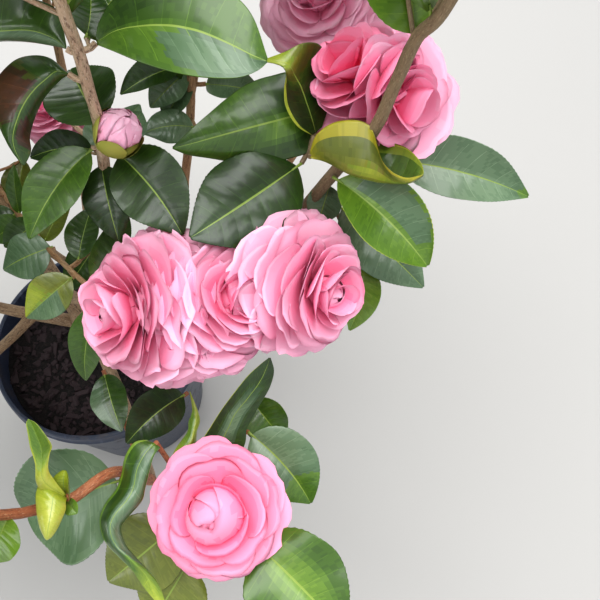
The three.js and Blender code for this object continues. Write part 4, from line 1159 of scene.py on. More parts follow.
def thin_faces(rows, columns, flipped=False):
    """A thin closed blade's faces: the top and the underside of each cell, then a cap at each end."""
    top, below = ((0, 0), (0, 1), (1, 1), (1, 0)), ((0, 0), (1, 0), (1, 1), (0, 1))
    if flipped:
        top, below = below, top
    faces = []
    for row in range(rows - 1):
        for column in range(columns - 1):
            faces.append(tuple((row + a) * columns + column + b for a, b in top))
            faces.append(tuple(under_place(row + a, column + b, rows, columns) for a, b in below))
    for row in (0, rows - 1):
        ring = [row * columns + column for column in range(columns)]
        ring += [under_place(row, column, rows, columns) for column in range(columns - 2, 0, -1)]
        faces.append(tuple(ring[::-1] if (row > 0) == flipped else ring))
    return faces


# Bark: trunk, boughs and twigs follow their lines

def build_bark_tree():
    """A limb of wood along each chain of edges, as thick as its points say, with the relief of its bark."""
    tree = new_tree("bark limb", "GeometryNodeTree", [
        ("Lines", "Geometry"), ("Sides", "Int", 10), ("Relief Depth", "Float", 0.16),
        ("Relief Scale", "Float", 500.0), ("Stretch", "Float", 0.25), ("Seed", "Float", 3.0),
        ("Bark", "Material")], [("Wood", "Geometry")])
    bench = Bench(tree)
    lines, sides, depth, scale, stretch, seed, bark = bench.taken()
    rails = bench.get("GeometryNodeMeshToCurve", {0: lines})
    rails = bench.store(rails, "along", bench.get("GeometryNodeSplineParameter", output=1))
    circle = bench.get("GeometryNodeCurvePrimitiveCircle", {0: sides, 4: 1.0})
    circle = bench.store(circle, "round", bench.get("GeometryNodeInputPosition"), "FLOAT_VECTOR")
    thickness = bench.named("thickness")
    wood = bench.get("GeometryNodeCurveToMesh", {0: rails, 1: circle, 2: thickness, 3: True})
    across = bench.scaled(bench.named("round", "FLOAT_VECTOR"), thickness)
    along = bench.xyz(bench.named("limb") * 0.37 + seed, 0.0, bench.named("along") * stretch)
    wood = bench.store(wood, "grain", bench.vector("ADD", across, along), "FLOAT_VECTOR")
    grain = bench.named("grain", "FLOAT_VECTOR")
    ridges = bench.noise(grain, scale, 4.0, 0.6) - 0.5
    swell = bench.noise(grain, scale * 0.22, 1.0) - 0.5
    offset = bench.scaled(bench.get("GeometryNodeInputNormal"), (ridges + swell) * depth * thickness)
    wood = bench.get("GeometryNodeSetPosition", {0: wood, 3: offset})
    bench.give(bench.finish_pieces(bench.smoothed(wood), bark))
    return tree


def limb_mesh(limbs):
    """Chains of edges with the thickness of their points: each limb is its points and radii in mm."""
    points, edges, thickness, numbers = [], [], [], []
    for number, (places, radii) in enumerate(limbs):
        start = len(thickness)
        points.extend((places * MM).tolist())
        edges.extend((start + i, start + i + 1) for i in range(len(places) - 1))
        thickness.extend((np.asarray(radii) * MM).tolist())
        numbers.extend([float(number)] * len(places))
    mesh = bpy.data.meshes.new("limbs")
    mesh.from_pydata(points, edges, [])
    for title, values in (("thickness", thickness), ("limb", numbers)):
        mesh.attributes.new(title, "FLOAT", "POINT").data.foreach_set("value", values)
    return mesh


def tapered(ends, flare=0.0):
    """The radius along a limb from end to end, flared where it leaves its bearer."""
    return lambda share: (ends[0] + (ends[1] - ends[0]) * share) * (1 + flare * np.exp(-share * 14))


def limb_points(line, radius_at, step):
    """Even points along a line with their radii."""
    shares = np.linspace(0, 1, max(4, int(line.lengths()[-1] / step)))
    return line.evenly(shares), radius_at(shares)


def build_bark_look():
    """Patches, fissures and pale spots along a limb's own grain, as a colour and a height."""
    tree = new_tree("bark look", "ShaderNodeTree", [
        ("Grain", "Vector"), ("Young", "Color"), ("Middle", "Color"), ("Old", "Color"), ("Spots", "Color"),
        ("Cracked", "Float")], [("Colour", "Color"), ("Height", "Float")])
    bench = Bench(tree)
    grain, young, middle, old, spots, cracked = bench.taken()
    fissures = bench.noise(grain, 640.0, 5.0, 0.7)
    patches = bench.noise(grain, 130.0, 3.0)
    fine = bench.noise(grain, 1900.0, 2.0)
    colour = bench.blend(bench.steps(patches, 0.4, 0.6), young, middle)
    colour = bench.blend(bench.steps(fissures, 0.5, 0.36) * cracked, colour, old)
    colour = bench.blend(bench.steps(fine, 0.56, 0.7, 0.0, 0.7), colour, spots)
    bench.give(colour, fine * 0.3 + fissures)
    return tree


def make_bark(name, look, young, middle, old, spots, cracked):
    """Bark whose fissures and lenticels follow the limb's own grain."""
    material = plain_material(name, middle, 0.62)
    bench, shader, _ = shader_bench(material)
    grain = bench.get("ShaderNodeAttribute", output="Vector", attribute_name="grain")
    bark = bench.add("ShaderNodeGroup", node_tree=look)
    values = {"Grain": grain, "Young": rgba(young), "Middle": rgba(middle), "Old": rgba(old),
              "Spots": rgba(spots), "Cracked": cracked}
    for socket, value in values.items():
        bench.lead(value, bark.inputs[socket])
    bench.lead(Feed(bench, bark.outputs["Colour"]), shader["Base Color"])
    relieve(bench, shader, Feed(bench, bark.outputs["Height"]), 0.7, 0.0012)
    return material


# Leaves

RIB_EDGE = 0.01
VEIN_EDGE = 0.78
MARGIN_EDGE = 0.97
VEIN_START = 0.1
VEIN_SPAN = 0.8
VEIN_WIDTH = 0.0022
VEIN_CORE = 0.001
VEIN_SWEEP = 0.12


def leaf_template(rows, sides, veins=0, teeth=0):
    """A leaf's mesh: share, side, lift and tooth of its points, then each face with its kind and place."""
    strips = [VEIN_START + VEIN_SPAN * (i + 0.5) / veins for i in range(veins)]
    edges = [strip + edge for strip in strips for edge in (-VEIN_WIDTH, VEIN_WIDTH)]
    rows = np.array(sorted([*rows, *edges]))
    count = len(rows)
    share, side = np.meshgrid(rows, sides, indexing="ij")
    swept = share + VEIN_SWEEP * np.abs(side) * np.sin(np.pi * share)
    pucker = np.zeros_like(swept)
    if veins:
        pucker = np.abs(np.sin(np.pi * (share - VEIN_START) / VEIN_SPAN * veins + np.pi / 2))
        pucker *= np.sin(np.pi * share) * np.minimum(1, 6 * (1 - np.abs(side)))
    tooth = 1 - 0.5 * np.abs(((share - rows[0]) * teeth) % 1 - 0.5) if teeth else np.ones_like(swept)
    lens = 0.22 * (1 - side**2)
    rib = np.exp(-((side / 0.06) ** 2))
    top = np.stack([swept, side, lens + 0.16 * pucker - 0.25 * rib, tooth], -1)
    under = np.stack([swept, side, -lens + 0.16 * pucker - 0.7 * rib, tooth], -1)[:, 1:-1]
    kinds, places = [], []
    for place in 0.5 * (rows[:-1] + rows[1:]):
        in_vein = any(abs(place - strip) < VEIN_CORE for strip in strips)
        for middle in 0.5 * (sides[:-1] + sides[1:]):
            edge = abs(middle)
            kind = "margin" if edge > MARGIN_EDGE else "vein" if in_vein and edge < VEIN_EDGE else "top"
            kinds += ["rib", "rib"] if edge < RIB_EDGE else [kind, "under"]
            places += [(place, middle)] * 2
    kinds += ["under", "under"]
    places += [(0, 0), ((count - 1) / count, 0)]
    points = np.vstack([top.reshape(-1, 4), under.reshape(-1, 4)])
    return points, thin_faces(count, len(sides)), np.array(kinds), np.array(places)


def both_sides(*sides):
    return np.array([-side for side in sides] + list(sides[::-1]), float)


LEAF_FORMS = {
    "named": leaf_template(np.linspace(0.012, 0.988, 56),
                           both_sides(1, 0.97, 0.84, 0.7, 0.56, 0.42, 0.28, 0.14, 0.022),
                           veins=7, teeth=27.5),
    "rule": leaf_template(np.linspace(0.02, 0.98, 10), both_sides(1, 0.97, 0.5, 0.028)),
    "fine": leaf_template(np.linspace(0.02, 0.975, 7), both_sides(1, 0.5, 0.03)),
}
PETIOLE_SHARE = {"named": 0.035, "rule": 0.08, "fine": 0.1}
PETIOLE_RADII = (1.25, 0.7)
FINE_WIDTH = 34
BLADE_FULLNESS = 1.12
LEAF_SHAPE = dict(far=1, full=0.84, wide=1)
LEAF_TWIST = math.radians(16)
TOOTH_DEPTH = 0.13
EDGE_RIPPLE = 0.035
SHEET_STEP = 0.002

# Leaf colours: ladders of plain materials, and each tone's family with its place on the ladder
GREEN_KEYS = {
    "green": [(22, 38, 13), (42, 68, 19), (70, 102, 29), (104, 136, 42), (142, 164, 72)],
    # The pale family is painted sheen: the grey-green reflection on glossy leaves, put into their colour
    "pale": [(56, 82, 50), (86, 112, 80), (124, 146, 114), (176, 188, 156)],
    "olive": [(74, 84, 28), (102, 112, 36), (132, 138, 52)],
    "lime": [(92, 116, 34), (132, 150, 44), (164, 174, 58), (188, 192, 88)],
    "bronze": [(52, 44, 26), (82, 52, 34), (110, 70, 46)],
    "gold": [(118, 124, 38), (166, 158, 36), (206, 194, 68)],
}
SHADE_STEPS = 4
LEAF_TONES = {
    "dark": ("green", 0.6), "deep": ("green", 1.2), "green": ("green", 1.9), "fresh": ("green", 2.7),
    # The pale and cream tones come from that painted-sheen ladder
    "pale": ("pale", 1.1), "olive": ("olive", 0.9), "lime": ("lime", 1.6), "yellow": ("lime", 2.6),
    "bronze": ("bronze", 0.9), "gold": ("gold", 1.0), "cream": ("pale", 3),
}
RULE_TONES = ((0.3, "dark"), (0.56, "deep"), (0.86, "green"), (1, "fresh"))
COLOUR_GRAIN = 9
VEIN_LIGHT = 0.55


def on_ladder(family, places):
    """Colours at places along a family's ladder, where each of its keys is one step."""
    keys = GREEN_KEYS[family]
    return np.stack([np.interp(places, range(len(keys)), [key[i] for key in keys]) for i in range(3)], -1)


SHADES = [(family, i / SHADE_STEPS) for family, keys in GREEN_KEYS.items()
          for i in range(SHADE_STEPS * (len(keys) - 1) + 1)]
PALETTE = np.array([on_ladder(family, place) for family, place in SHADES])


def sheet_points(leaf, share, side):
    """A curled leaf through rows of its left edge, midrib and right edge, as the picture shows them."""
    sheet = leaf.sheet()
    left, middle, right = (Spline(sheet[:, i]).points_at(share) for i in range(3))
    side = side[:, None]
    return middle + 0.5 * (right - left) * side + (0.5 * (left + right) - middle) * side**2


def leaf_points(leaf, template, petiole, chance):
    """The points of a leaf's mesh, from its template."""
    form = {**LEAF_SHAPE, **leaf.form}
    share, side, lift, tooth = template.T
    draws = [chance() for _ in range(5)]
    if "sheet" in form:
        ahead = (sheet_points(leaf, np.minimum(share + SHEET_STEP, 1), side)
                 - sheet_points(leaf, share - SHEET_STEP, side))
        across = sheet_points(leaf, share, side + SHEET_STEP) - sheet_points(leaf, share, side - SHEET_STEP)
        return sheet_points(leaf, share, side) + unit(np.cross(across, ahead)) * lift[:, None]
    place = petiole + (1 - petiole) * share
    along = leaf.midrib.tangents_at(place)
    across, upper = sides_of(along, leaf.face)
    twist = (LEAF_TWIST * (draws[0] - 0.5) * (share - 0.3))[:, None]
    turned = across * np.cos(twist) + upper * np.sin(twist)
    upper = upper * np.cos(twist) - across * np.sin(twist)
    outline = blade_width(share ** form["far"]) ** form["full"] * (1 - 0.45 * share**6)
    outline = BLADE_FULLNESS * form["wide"] * outline * (1 - np.exp(-share / 0.03))
    scallop = 1 - (1 - tooth) * TOOTH_DEPTH * np.abs(side) ** 8
    reach = 0.5 * leaf.width * outline * np.abs(side) * scallop
    fold = 0.14 + 0.22 * draws[1]
    cup = form.get("cup", 0.34 * (draws[2] - 0.45))
    angle = fold + cup * np.abs(side) * 1.6
    wave = np.sin(FULL_TURN * ((1.4 + draws[3]) * share + draws[4]) + 1.9 * (side > 0)) * side**2
    ripple = EDGE_RIPPLE * leaf.width * wave * outline
    rise = reach * np.sin(angle) + ripple + lift * np.minimum(1, outline * 2)
    blade = leaf.midrib.points_at(place) + turned * (np.sign(side) * reach * np.cos(angle))[:, None]
    return blade + upper * rise[:, None]


def tone_colours(tone, extra):
    """Colours of a tone, lightened or darkened along its family's ladder."""
    family, base = LEAF_TONES[tone]
    return on_ladder(family, base + extra)


def within(value, low, high, soft):
    """One between two bounds and zero beyond them, with soft edges unless a bound is the leaf's own."""
    rise = np.clip((value - low) / soft + 0.5, 0, 1) if low > -1 else 1
    fall = np.clip((high - value) / soft + 0.5, 0, 1) if high < 1 else 1
    return rise * fall


# Patches in the pale family lay painted sheen over part of a leaf
def patched(colours, patches, share, side, extra):
    """Colours with patches of other tones laid over them."""
    for tone, low, high, left, right in patches:
        soft_side = 0.05 if right - left < 0.2 else 0.3
        amount = within(share, low if low > 0 else -2, high, 0.26) * within(side, left, right, soft_side)
        colours = colours + (tone_colours(tone, extra) - colours) * amount[:, None]
    return colours


def leaf_shades(leaf, tone, places, kinds, chance):
    """The shade of each face: fresher at the base, the midrib and the margin, and a little uneven."""
    share, side = places.T
    a, b, c, d = (chance() * FULL_TURN for _ in range(4))
    uneven = np.sin(5.1 * share + a) * np.sin(2.7 * side + b) + 0.5 * np.sin(13 * share + 4 * side + c)
    uneven += 0.35 * np.sin(29 * share - 7 * side + d)
    extra = 0.16 * uneven + 0.5 * np.exp(-share / 0.1) + 0.24 * np.exp(-((side / 0.14) ** 2))
    extra += 0.26 * np.exp(-(1 - np.abs(side)) / 0.09) + 0.3 * (chance() - 0.5)
    extra += VEIN_LIGHT * (kinds == "vein")
    colours = patched(tone_colours(tone, extra), leaf.form.get("patches", ()), share, side, extra)
    if "under" in leaf.form:
        below = tone_colours(leaf.form["under"], 0.25 * uneven)
        below = patched(below, leaf.form.get("below", ()), share, side, 0.25 * uneven)
        colours = np.where((kinds == "under")[:, None], below, colours)
    grain = np.sin(np.arange(len(share)) * 12.9898 + a) * 43758.5453
    colours = colours + COLOUR_GRAIN * (grain % 1 - 0.5)[:, None]
    return np.linalg.norm(colours[:, None] - PALETTE, axis=-1).argmin(axis=1)


def tone_of(leaf, chance):
    """Named leaves keep the tone of the picture; the others take one from their spray."""
    if leaf.named:
        return leaf.tone
    draw = 0.5 * Chance(leaf.spray * 7919 + 13)() + 0.5 * chance()
    return next(tone for limit, tone in RULE_TONES if draw < limit)


def make_leaves(name, leaves, materials, chance):
    """All leaves of a mass, joined."""
    joined = Joined()
    shared = {kind: len(SHADES) + i for i, kind in enumerate(("rib", "margin", "under"))}
    for leaf in leaves:
        detail = "named" if leaf.named else "rule" if leaf.width > FINE_WIDTH else "fine"
        template, leaf_faces, kinds, places = LEAF_FORMS[detail]
        petiole = PETIOLE_SHARE[detail]
        points = leaf_points(leaf, template, petiole, chance)
        shades = leaf_shades(leaf, tone_of(leaf, chance), places, kinds, chance)
        shaded = {"top", "vein", "under" if "under" in leaf.form else "", "margin" if leaf.named else ""}
        slots = [shade if kind in shaded else shared[kind] for kind, shade in zip(kinds, shades)]
        joined.add(points, leaf_faces, slots)
        if "sheet" not in leaf.form:
            stem = Bow(*(leaf.midrib.point(share) for share in (0, petiole * 0.6, petiole + 0.06)))
            tube, tube_faces = mesh_tube(stem, PETIOLE_RADII)
            joined.add(tube, tube_faces, [shared["rib"]] * len(tube_faces))
    return joined.piece(name, materials)


# Blooms and buds

# Petal tones from deep to pale: the deeper ones, towards the claws and the heart, are partly painted shade
PETAL_TONES = [(238, 84, 122), (244, 107, 145), (248, 126, 162), (250, 142, 176), (252, 156, 188),
               (253, 168, 198), (254, 180, 207), (254, 190, 215), (255, 200, 222)]
PETAL_KINDS = {
    # how far it cups across, curls along, its width share and its notch
    "outer": (0.1, -0.14, 0.98, 0.06),
    "middle": (0.26, 0.0, 0.98, 0.05),
    "inner": (0.66, 0.26, 0.92, 0.035),
}
WRAPPING_KINDS = {
    # how far round a ball it reaches, up and across, in radians
    "wrap": (3.06, 2.0),
    "bract": (1.86, 0.72),
}
PETAL_THICKNESS = 0.008
PETAL_GRIDS = {"fine": (12, 13), "coarse": (7, 7)}
LAYER_BOUNDS = (-1.0, 0.36, 0.74, 2.0)
SEPAL_ANGLE = 0.382 * FULL_TURN

# Settings of the bloom tree: those of a bloom of the rule, then what clumps and buds have of their own
RULE_BLOOM = dict(Petals=54, Sepals=6, Heart_Petals=7, Seed=1, Radius=0.041, Spread=106.0, Heart=24.0,
                  Pale=0.8, Ruffle=0.1, Outer_Size=0.97, Heart_Size=0.46, Heart_Height=0.36, Loose=1.3,
                  Broad=1.2, Heart_Bud=0.2, Heart_Tuck=0.82, Heart_Bud_Height=0.2, Sepal_Size=0.42)
PETAL_OBJECTS = ("Outer_Petal", "Middle_Petal", "Inner_Petal", "Heart_Petal", "Sepal")
CLUMP = dict(Sepals=0, Heart_Petals=2, Heart_Bud=0.14, Loose=2.2, Outer_Size=0.9, Heart_Size=0.66)
BUD = dict(Petals=2, Pale=1.6, Ruffle=0.02, Outer_Size=0.3, Heart_Size=0.3, Heart_Bud=0.96, Heart_Tuck=0.93,
           Heart_Bud_Height=0, Sepals=7, Sepal_Size=1.03)
FLOWER_KINDS = {
    # how far its claws stand behind its middle, in radii, its sepals' kind and its own settings
    "bloom": (BLOOM_BACK, "inner", {}),
    "clump": (0.26, "inner", CLUMP),
    "bud": (BUD_BACK, "bract", BUD),
}


def petal_places(kind, u, v):
    """A petal's middle surface, one long: u runs from its claw to its lip and v across it."""
    if kind in WRAPPING_KINDS:
        top, half_angle = WRAPPING_KINDS[kind]
        spread = np.sin(np.pi * np.clip(0.12 + 0.62 * u, 0, 1)) ** 0.8
        turn = v * half_angle * spread
        fall = u * top * (1 - 0.16 * v**2)
        belly = np.sin(fall) * (1 + 0.05 * u)
        return belly * np.cos(turn), belly * np.sin(turn), 1.12 * (1 - np.cos(fall))
    cup, curl, width, notch = PETAL_KINDS[kind]
    outline = 0.22 + 0.78 * np.sin(0.5 * np.pi * np.clip(u / 0.85, 0, 1)) ** 0.9
    across = 0.5 * width * outline * v
    arc = 0.58 + 0.42 * np.sqrt(1 - v**2 * 0.9999)
    along = u * (arc - notch * np.exp(-((v / 0.2) ** 2)) * u**6)
    return along, across, cup * across**2 * 1.9 + curl * along**2.2 * 0.5


def petal_mesh(kind, rows, columns):
    """A thin closed petal with how far each point is from the claw."""
    u, v = np.meshgrid(np.linspace(0.02, 1, rows), np.linspace(-1, 1, columns), indexing="ij")
    v = np.sin(0.5 * np.pi * v)
    middle = np.stack(petal_places(kind, u, v), -1)
    normal = unit(np.cross(np.gradient(middle, axis=0), np.gradient(middle, axis=1)) + 1e-12)
    half = 0.5 * PETAL_THICKNESS * (1 - v**2) * np.minimum(1, (1 - u) * 6)
    lift = normal * half[..., None]
    points = np.vstack([(middle + lift).reshape(-1, 3), (middle - lift)[:, 1:-1].reshape(-1, 3)])
    mesh = smooth_mesh(kind, points, thin_faces(rows, columns, flipped=True))
    reach = np.concatenate([u.ravel(), u[:, 1:-1].ravel()])
    mesh.attributes.new("reach", "FLOAT", "POINT").data.foreach_set("value", reach)
    mesh.update()
    return bpy.data.objects.new(kind, mesh)


def build_bloom_tree():
    """Petals set in a golden spiral, from flat outer ones to the heart, over a ring of sepals."""
    numbers = [(title, "Int" if isinstance(value, int) else "Float", value)
               for title, value in RULE_BLOOM.items()]
    tree = new_tree("camellia bloom", "GeometryNodeTree", [
        ("Base", "Geometry"), *numbers, *((title, "Object") for title in PETAL_OBJECTS),
        ("Sepal_Green", "Material"), *((f"Tone_{i}", "Material") for i in range(len(PETAL_TONES)))],
        [("Bloom", "Geometry")])
    bench = Bench(tree)
    (_, petals, sepals, heart_petals, seed, radius, spread, heart, pale, ruffle, outer_size, heart_size,
     heart_height, loose, broad, heart_bud, heart_tuck, heart_bud_height, sepal_size,
     outer, middle, inner, heart_petal, sepal, sepal_green, *tones) = bench.taken()
    index = bench.get("GeometryNodeInputIndex")
    layer = 1.0 - (1.0 - index / (petals - 1.0)) ** 0.62

    def jitter(low, high, number):
        return bench.random(low, high, index, seed + float(number))

    # petals, flat outside and upright inside
    angle = index * GOLDEN_ANGLE + loose * jitter(-0.12, 0.12, 1)
    tilt = bench.mix(layer, spread, heart) + loose * jitter(-2.6, 2.6, 2)
    lift = bench.math("RADIANS", tilt - 90.0)
    away = bench.mix(layer, 0.13, 0.02) * radius
    place = bench.xyz(bench.math("COSINE", angle) * away, bench.math("SINE", angle) * away,
                      layer * heart_height * radius)
    spots = bench.store(bench.points(petals, place), "layer", layer)
    turn = bench.turned(loose * jitter(-0.09, 0.09, 3), lift, angle)
    size = bench.mix(layer, outer_size, heart_size) * radius
    size = size * (loose * jitter(-0.04, 0.02, 4) + 1.0)
    size = bench.xyz(size, size * broad, size)
    parts = []
    for petal, low, high in zip((outer, middle, inner), LAYER_BOUNDS, LAYER_BOUNDS[1:]):
        above = bench.compare("GREATER_EQUAL", layer, low)
        below = bench.compare("LESS_THAN", layer, high)
        chosen = bench.get("FunctionNodeBooleanMath", {0: above, 1: below}, operation="AND")
        parts.append(bench.planted(spots, petal, turn, size, chosen))

    # heart: petals wrapped round a small ball
    curled = index / heart_petals
    core_height = (curled * 0.03 + heart_bud_height) * radius
    core = bench.store(bench.points(heart_petals, bench.xyz(0.0, 0.0, core_height)), "layer", 0.5)
    core_turn = bench.turned(jitter(-0.07, 0.07, 5), jitter(-0.07, 0.07, 6), angle)
    core_size = heart_bud * radius
    parts.append(bench.planted(core, heart_petal, core_turn, core_size * bench.mix(curled, 1.0, heart_tuck)))
    ball_size = core_size * heart_tuck
    ball_place = bench.xyz(0.0, 0.0, ball_size * 1.14 + heart_bud_height * radius)
    ball_scale = bench.xyz(ball_size * 0.96, ball_size * 0.96, ball_size * 1.09)
    ball = bench.get("GeometryNodeMeshUVSphere", {0: 20, 1: 12, 2: 1.0})
    ball = bench.get("GeometryNodeTransform", {0: ball, "Translation": ball_place, "Scale": ball_scale})
    parts.append(bench.store(bench.store(ball, "reach", 0.6), "layer", 0.5))

    # ripples towards the lips, and tones from the depth of each place, partly own colour, partly painted
    # shade
    flower = bench.realized(bench.joined(parts))
    shifted = bench.vector("ADD", bench.get("GeometryNodeInputPosition"), bench.xyz(seed * 0.37, 0.0, 0.0))
    ripples = bench.get("ShaderNodeTexNoise", {"Vector": shifted, "Scale": 42.0, "Detail": 0.0}, 1)
    centred = bench.vector("SUBTRACT", ripples, (0.5, 0.5, 0.5))
    reach = bench.named("reach")
    amount = (reach ** 2.0) * ruffle * (radius * 2.0)
    flower = bench.get("GeometryNodeSetPosition", {0: flower, 3: bench.scaled(centred, amount)})
    mottle = bench.noise(shifted, 160.0, 2.0) - 0.5
    tone = (bench.named("layer") * -1.6 + reach * 3.9) + (mottle * 1.2 + 3.2) + pale
    tone = bench.math("MINIMUM", bench.math("MAXIMUM", tone, 0.0), len(tones) - 1.0)
    tone = bench.math("ROUND", tone)
    for number, material in enumerate(tones):
        chosen = bench.compare("EQUAL", tone, float(number), 0.5)
        flower = bench.get("GeometryNodeSetMaterial", {0: flower, 1: chosen, 2: material})

    # sepals behind
    green_turn = bench.turned(0.0, index / sepals * -0.12, index * SEPAL_ANGLE)
    green_spots = bench.points(sepals, bench.xyz(0.0, 0.0, radius * -0.03))
    calyx = bench.planted(green_spots, sepal, green_turn, radius * sepal_size)
    bench.give(bench.smoothed(bench.joined([flower, bench.finish_pieces(calyx, sepal_green)])))
    return tree


def facing_frame(face):
    """Three directions in rows, the last along the facing."""
    across = unit(np.cross((0.31, 0.93, 0.12), face))
    return np.array([across, np.cross(face, across), face])


def make_blooms(name, blooms, buds, materials, petal_sets, tree):
    """All blooms and buds of a mass, joined."""
    joined = Joined()
    shared = {f"Tone_{i}": material for i, material in enumerate(materials[:-1])}
    flowers = [(bloom, "bloom") for bloom in blooms] + [(bud, "bud") for bud in buds]
    for bloom in blooms:
        for part in bloom.get("parts", ()):
            shown = bloom["shown"] + viewed(*part["offset"])
            flowers.append((dict(part, radius=bloom["radius"], face=bloom["face"], shown=shown), "clump"))
    empty = bpy.data.meshes.new("base")
    for number, (flower, kind) in enumerate(flowers):
        back, sepal, own_settings = FLOWER_KINDS[kind]
        kinds = ("outer", "middle", "inner", "wrap", sepal)
        shapes = petal_sets["fine" if "shape" in flower else "coarse"]
        settings = {**RULE_BLOOM, **flower.get("shape", {}), **own_settings, **shared,
                    **{title: shapes[shape] for title, shape in zip(PETAL_OBJECTS, kinds)}}
        settings.update(Seed=number * 7 + 3, Radius=flower["radius"] * flower.get("size", 1) * MM,
                        Sepal_Green=materials[-1])
        made = run_tree(name, empty, tree, **settings)
        points, faces, slots = mesh_parts(made)
        order = [materials.index(material) if material else 0 for material in made.materials]
        face = unit(viewed(*flower["look"])) if "look" in flower else flower["face"]
        claw = flower["shown"] - face * (back * flower["radius"])
        joined.add(points / MM @ facing_frame(face) + claw, faces, [order[i] for i in slots])
        bpy.data.meshes.remove(made)
    return joined.piece(name, materials)


# Pot, soil and chips

TURNED_SIDES = 144
SHARP_ANGLE = math.radians(50)
CUTTER_REACH = 4
SOIL_RINGS = 46
SOIL_SEED = 31
SOIL_WAVES = 40
SOIL_CENTRE_RISE = 1.5
SOIL_SINK = 1.2
SOIL_TAPER = 3.4
BED_SHARE = 0.985
BED_RISE = Vector((0, 0, 0.0026))


def pot_outline():
    """Radius and height along the pot's wall, up its outside and down its inside."""
    base, shoulder, rim = POT_BASE_RADIUS, POT_SHOULDER_RADIUS, POT_RIM_RADIUS
    top, ridge = POT_HEIGHT, POT_HEIGHT - POT_BAND_HEIGHT
    return [(0, 0), (base - 3, 0), (base - 1, 0.6), (base, 2.4), (base + 0.4, 6),
            (shoulder - 0.6, ridge - 7), (shoulder, ridge - 3.8), (shoulder + 2.4, ridge - 3),
            (rim, ridge - 2), (rim + 0.9, ridge - 1), (rim + POT_RIDGE, ridge), (rim + 0.9, ridge + 1),
            (rim, ridge + 2), (rim, top - 1.6), (rim - 0.4, top - 0.4), (rim - 1.4, top), (rim - 3.8, top),
            (rim - 4.7, top - 0.3), (rim - POT_LIP_WIDTH, top - 1.4), (shoulder - POT_WALL, ridge - 4),
            (base - POT_WALL, POT_FLOOR), (0, POT_FLOOR)]


def ring_points(radius, heights):
    """Points of a level ring, or of a wavy one with a height for each."""
    angles = np.arange(TURNED_SIDES) * FULL_TURN / TURNED_SIDES
    heights = np.broadcast_to(heights, angles.shape)
    return np.stack([radius * np.cos(angles), radius * np.sin(angles), heights], -1)


def turned_piece(name, first, last, rings, material, flipped=False):
    """A turned piece whose rings climb its outside, or run down it when flipped.

    A point of its axis, at the height given, closes it before the first ring and after the last.
    """
    sides = TURNED_SIDES
    end = 2 + (len(rings) - 1) * sides
    faces = []
    for i in range(sides):
        j = (i + 1) % sides
        faces.append((0, 2 + j, 2 + i))
        faces.extend((low + i, low + j, low + sides + j, low + sides + i) for low in range(2, end, sides))
        faces.append((end + i, end + j, 1))
    if flipped:
        faces = [face[:1] + face[:0:-1] for face in faces]
    return mesh_piece(name, np.vstack([up(first), up(last), *rings]), faces, [material])


def build_pot(material):
    """The turned pot, from the same outline as its solid with finer corners, with its drain holes cut."""
    (_, foot), *outline, (_, floor_height) = pot_outline()
    rings = [ring_points(*corner) for corner in outline]
    pot = turned_piece("pot_body", foot, floor_height, rings, material)
    bores = Joined()
    for i in range(DRAIN_COUNT):
        turn = FULL_TURN * (i + 0.5) / DRAIN_COUNT
        spot = at(DRAIN_CIRCLE * math.cos(turn), DRAIN_CIRCLE * math.sin(turn), POT_FLOOR / 2)
        bore = Bow(spot - up(CUTTER_REACH), spot, spot + up(CUTTER_REACH))
        tube, tube_faces = mesh_tube(bore, (DRAIN_RADIUS, DRAIN_RADIUS), sides=24, rows=2)
        bores.add(tube, tube_faces, [0] * len(tube_faces))
    cutter = bores.piece("cutter", [])
    boolean = pot.modifiers.new("drains", "BOOLEAN")
    boolean.operation = "DIFFERENCE"
    boolean.solver = "EXACT"
    boolean.object = cutter
    made = plain_copy(pot)
    pot.modifiers.remove(boolean)
    pot.data = made
    bpy.data.objects.remove(cutter)
    made.polygons.foreach_set("use_smooth", np.ones(len(made.polygons), bool))
    made.set_sharp_from_angle(angle=SHARP_ANGLE)
    return pot


def make_plastic():
    """Satin blue-black plastic, scuffed lighter and dusty where soil was brushed off."""
    blue_black = (50, 57, 74)
    material = plain_material("pot plastic", blue_black, 0.36)
    bench, shader, place = shader_bench(material)
    streaks = bench.noise(bench.vector("MULTIPLY", place, (1.0, 1.0, 0.12)), 160.0, 5.0, 0.7)
    patches = bench.noise(place, 22.0, 3.0)
    scuffs = bench.steps(streaks, 0.56, 0.7) * bench.steps(patches, 0.42, 0.6)
    dust = bench.steps(bench.noise(place, 60.0, 6.0, 0.7), 0.5, 0.75) * bench.steps(patches, 0.6, 0.4)
    colour = bench.blend(scuffs * 0.5, blue_black, (112, 120, 142))
    bench.lead(bench.blend(dust * 0.45, colour, (104, 90, 74)), shader["Base Color"])
    bench.lead((scuffs * 0.16 + 0.34) + dust * 0.3, shader["Roughness"])
    relieve(bench, shader, bench.noise(place, 900.0, 3.0), 0.16, 0.0006)
    return material


def build_soil(material):
    """Lumpy potting soil that fills the pot to its level."""
    rim = POT_SHOULDER_RADIUS - SOIL_GAP
    foot = SOIL_LEVEL - SOIL_DEPTH
    waves = np.random.default_rng(SOIL_SEED).uniform(-1, 1, (SOIL_WAVES, 4))
    rings = []
    for radius in np.linspace(rim / SOIL_RINGS, rim, SOIL_RINGS):
        x, y, _ = ring_points(radius, 0).T
        bumps = sum(np.sin((0.03 + 0.006 * k) * (x * wx + y * wy) * 6 + w * 6) * 0.28 * abs(size)
                    for k, (wx, wy, w, size) in enumerate(waves))
        rings.append(ring_points(radius, SOIL_LEVEL + 0.6 * bumps - SOIL_SINK))
    rings.append(ring_points(rim - SOIL_TAPER, foot))
    return turned_piece("soil_bed", SOIL_LEVEL + SOIL_CENTRE_RISE, foot, rings, material, flipped=True)


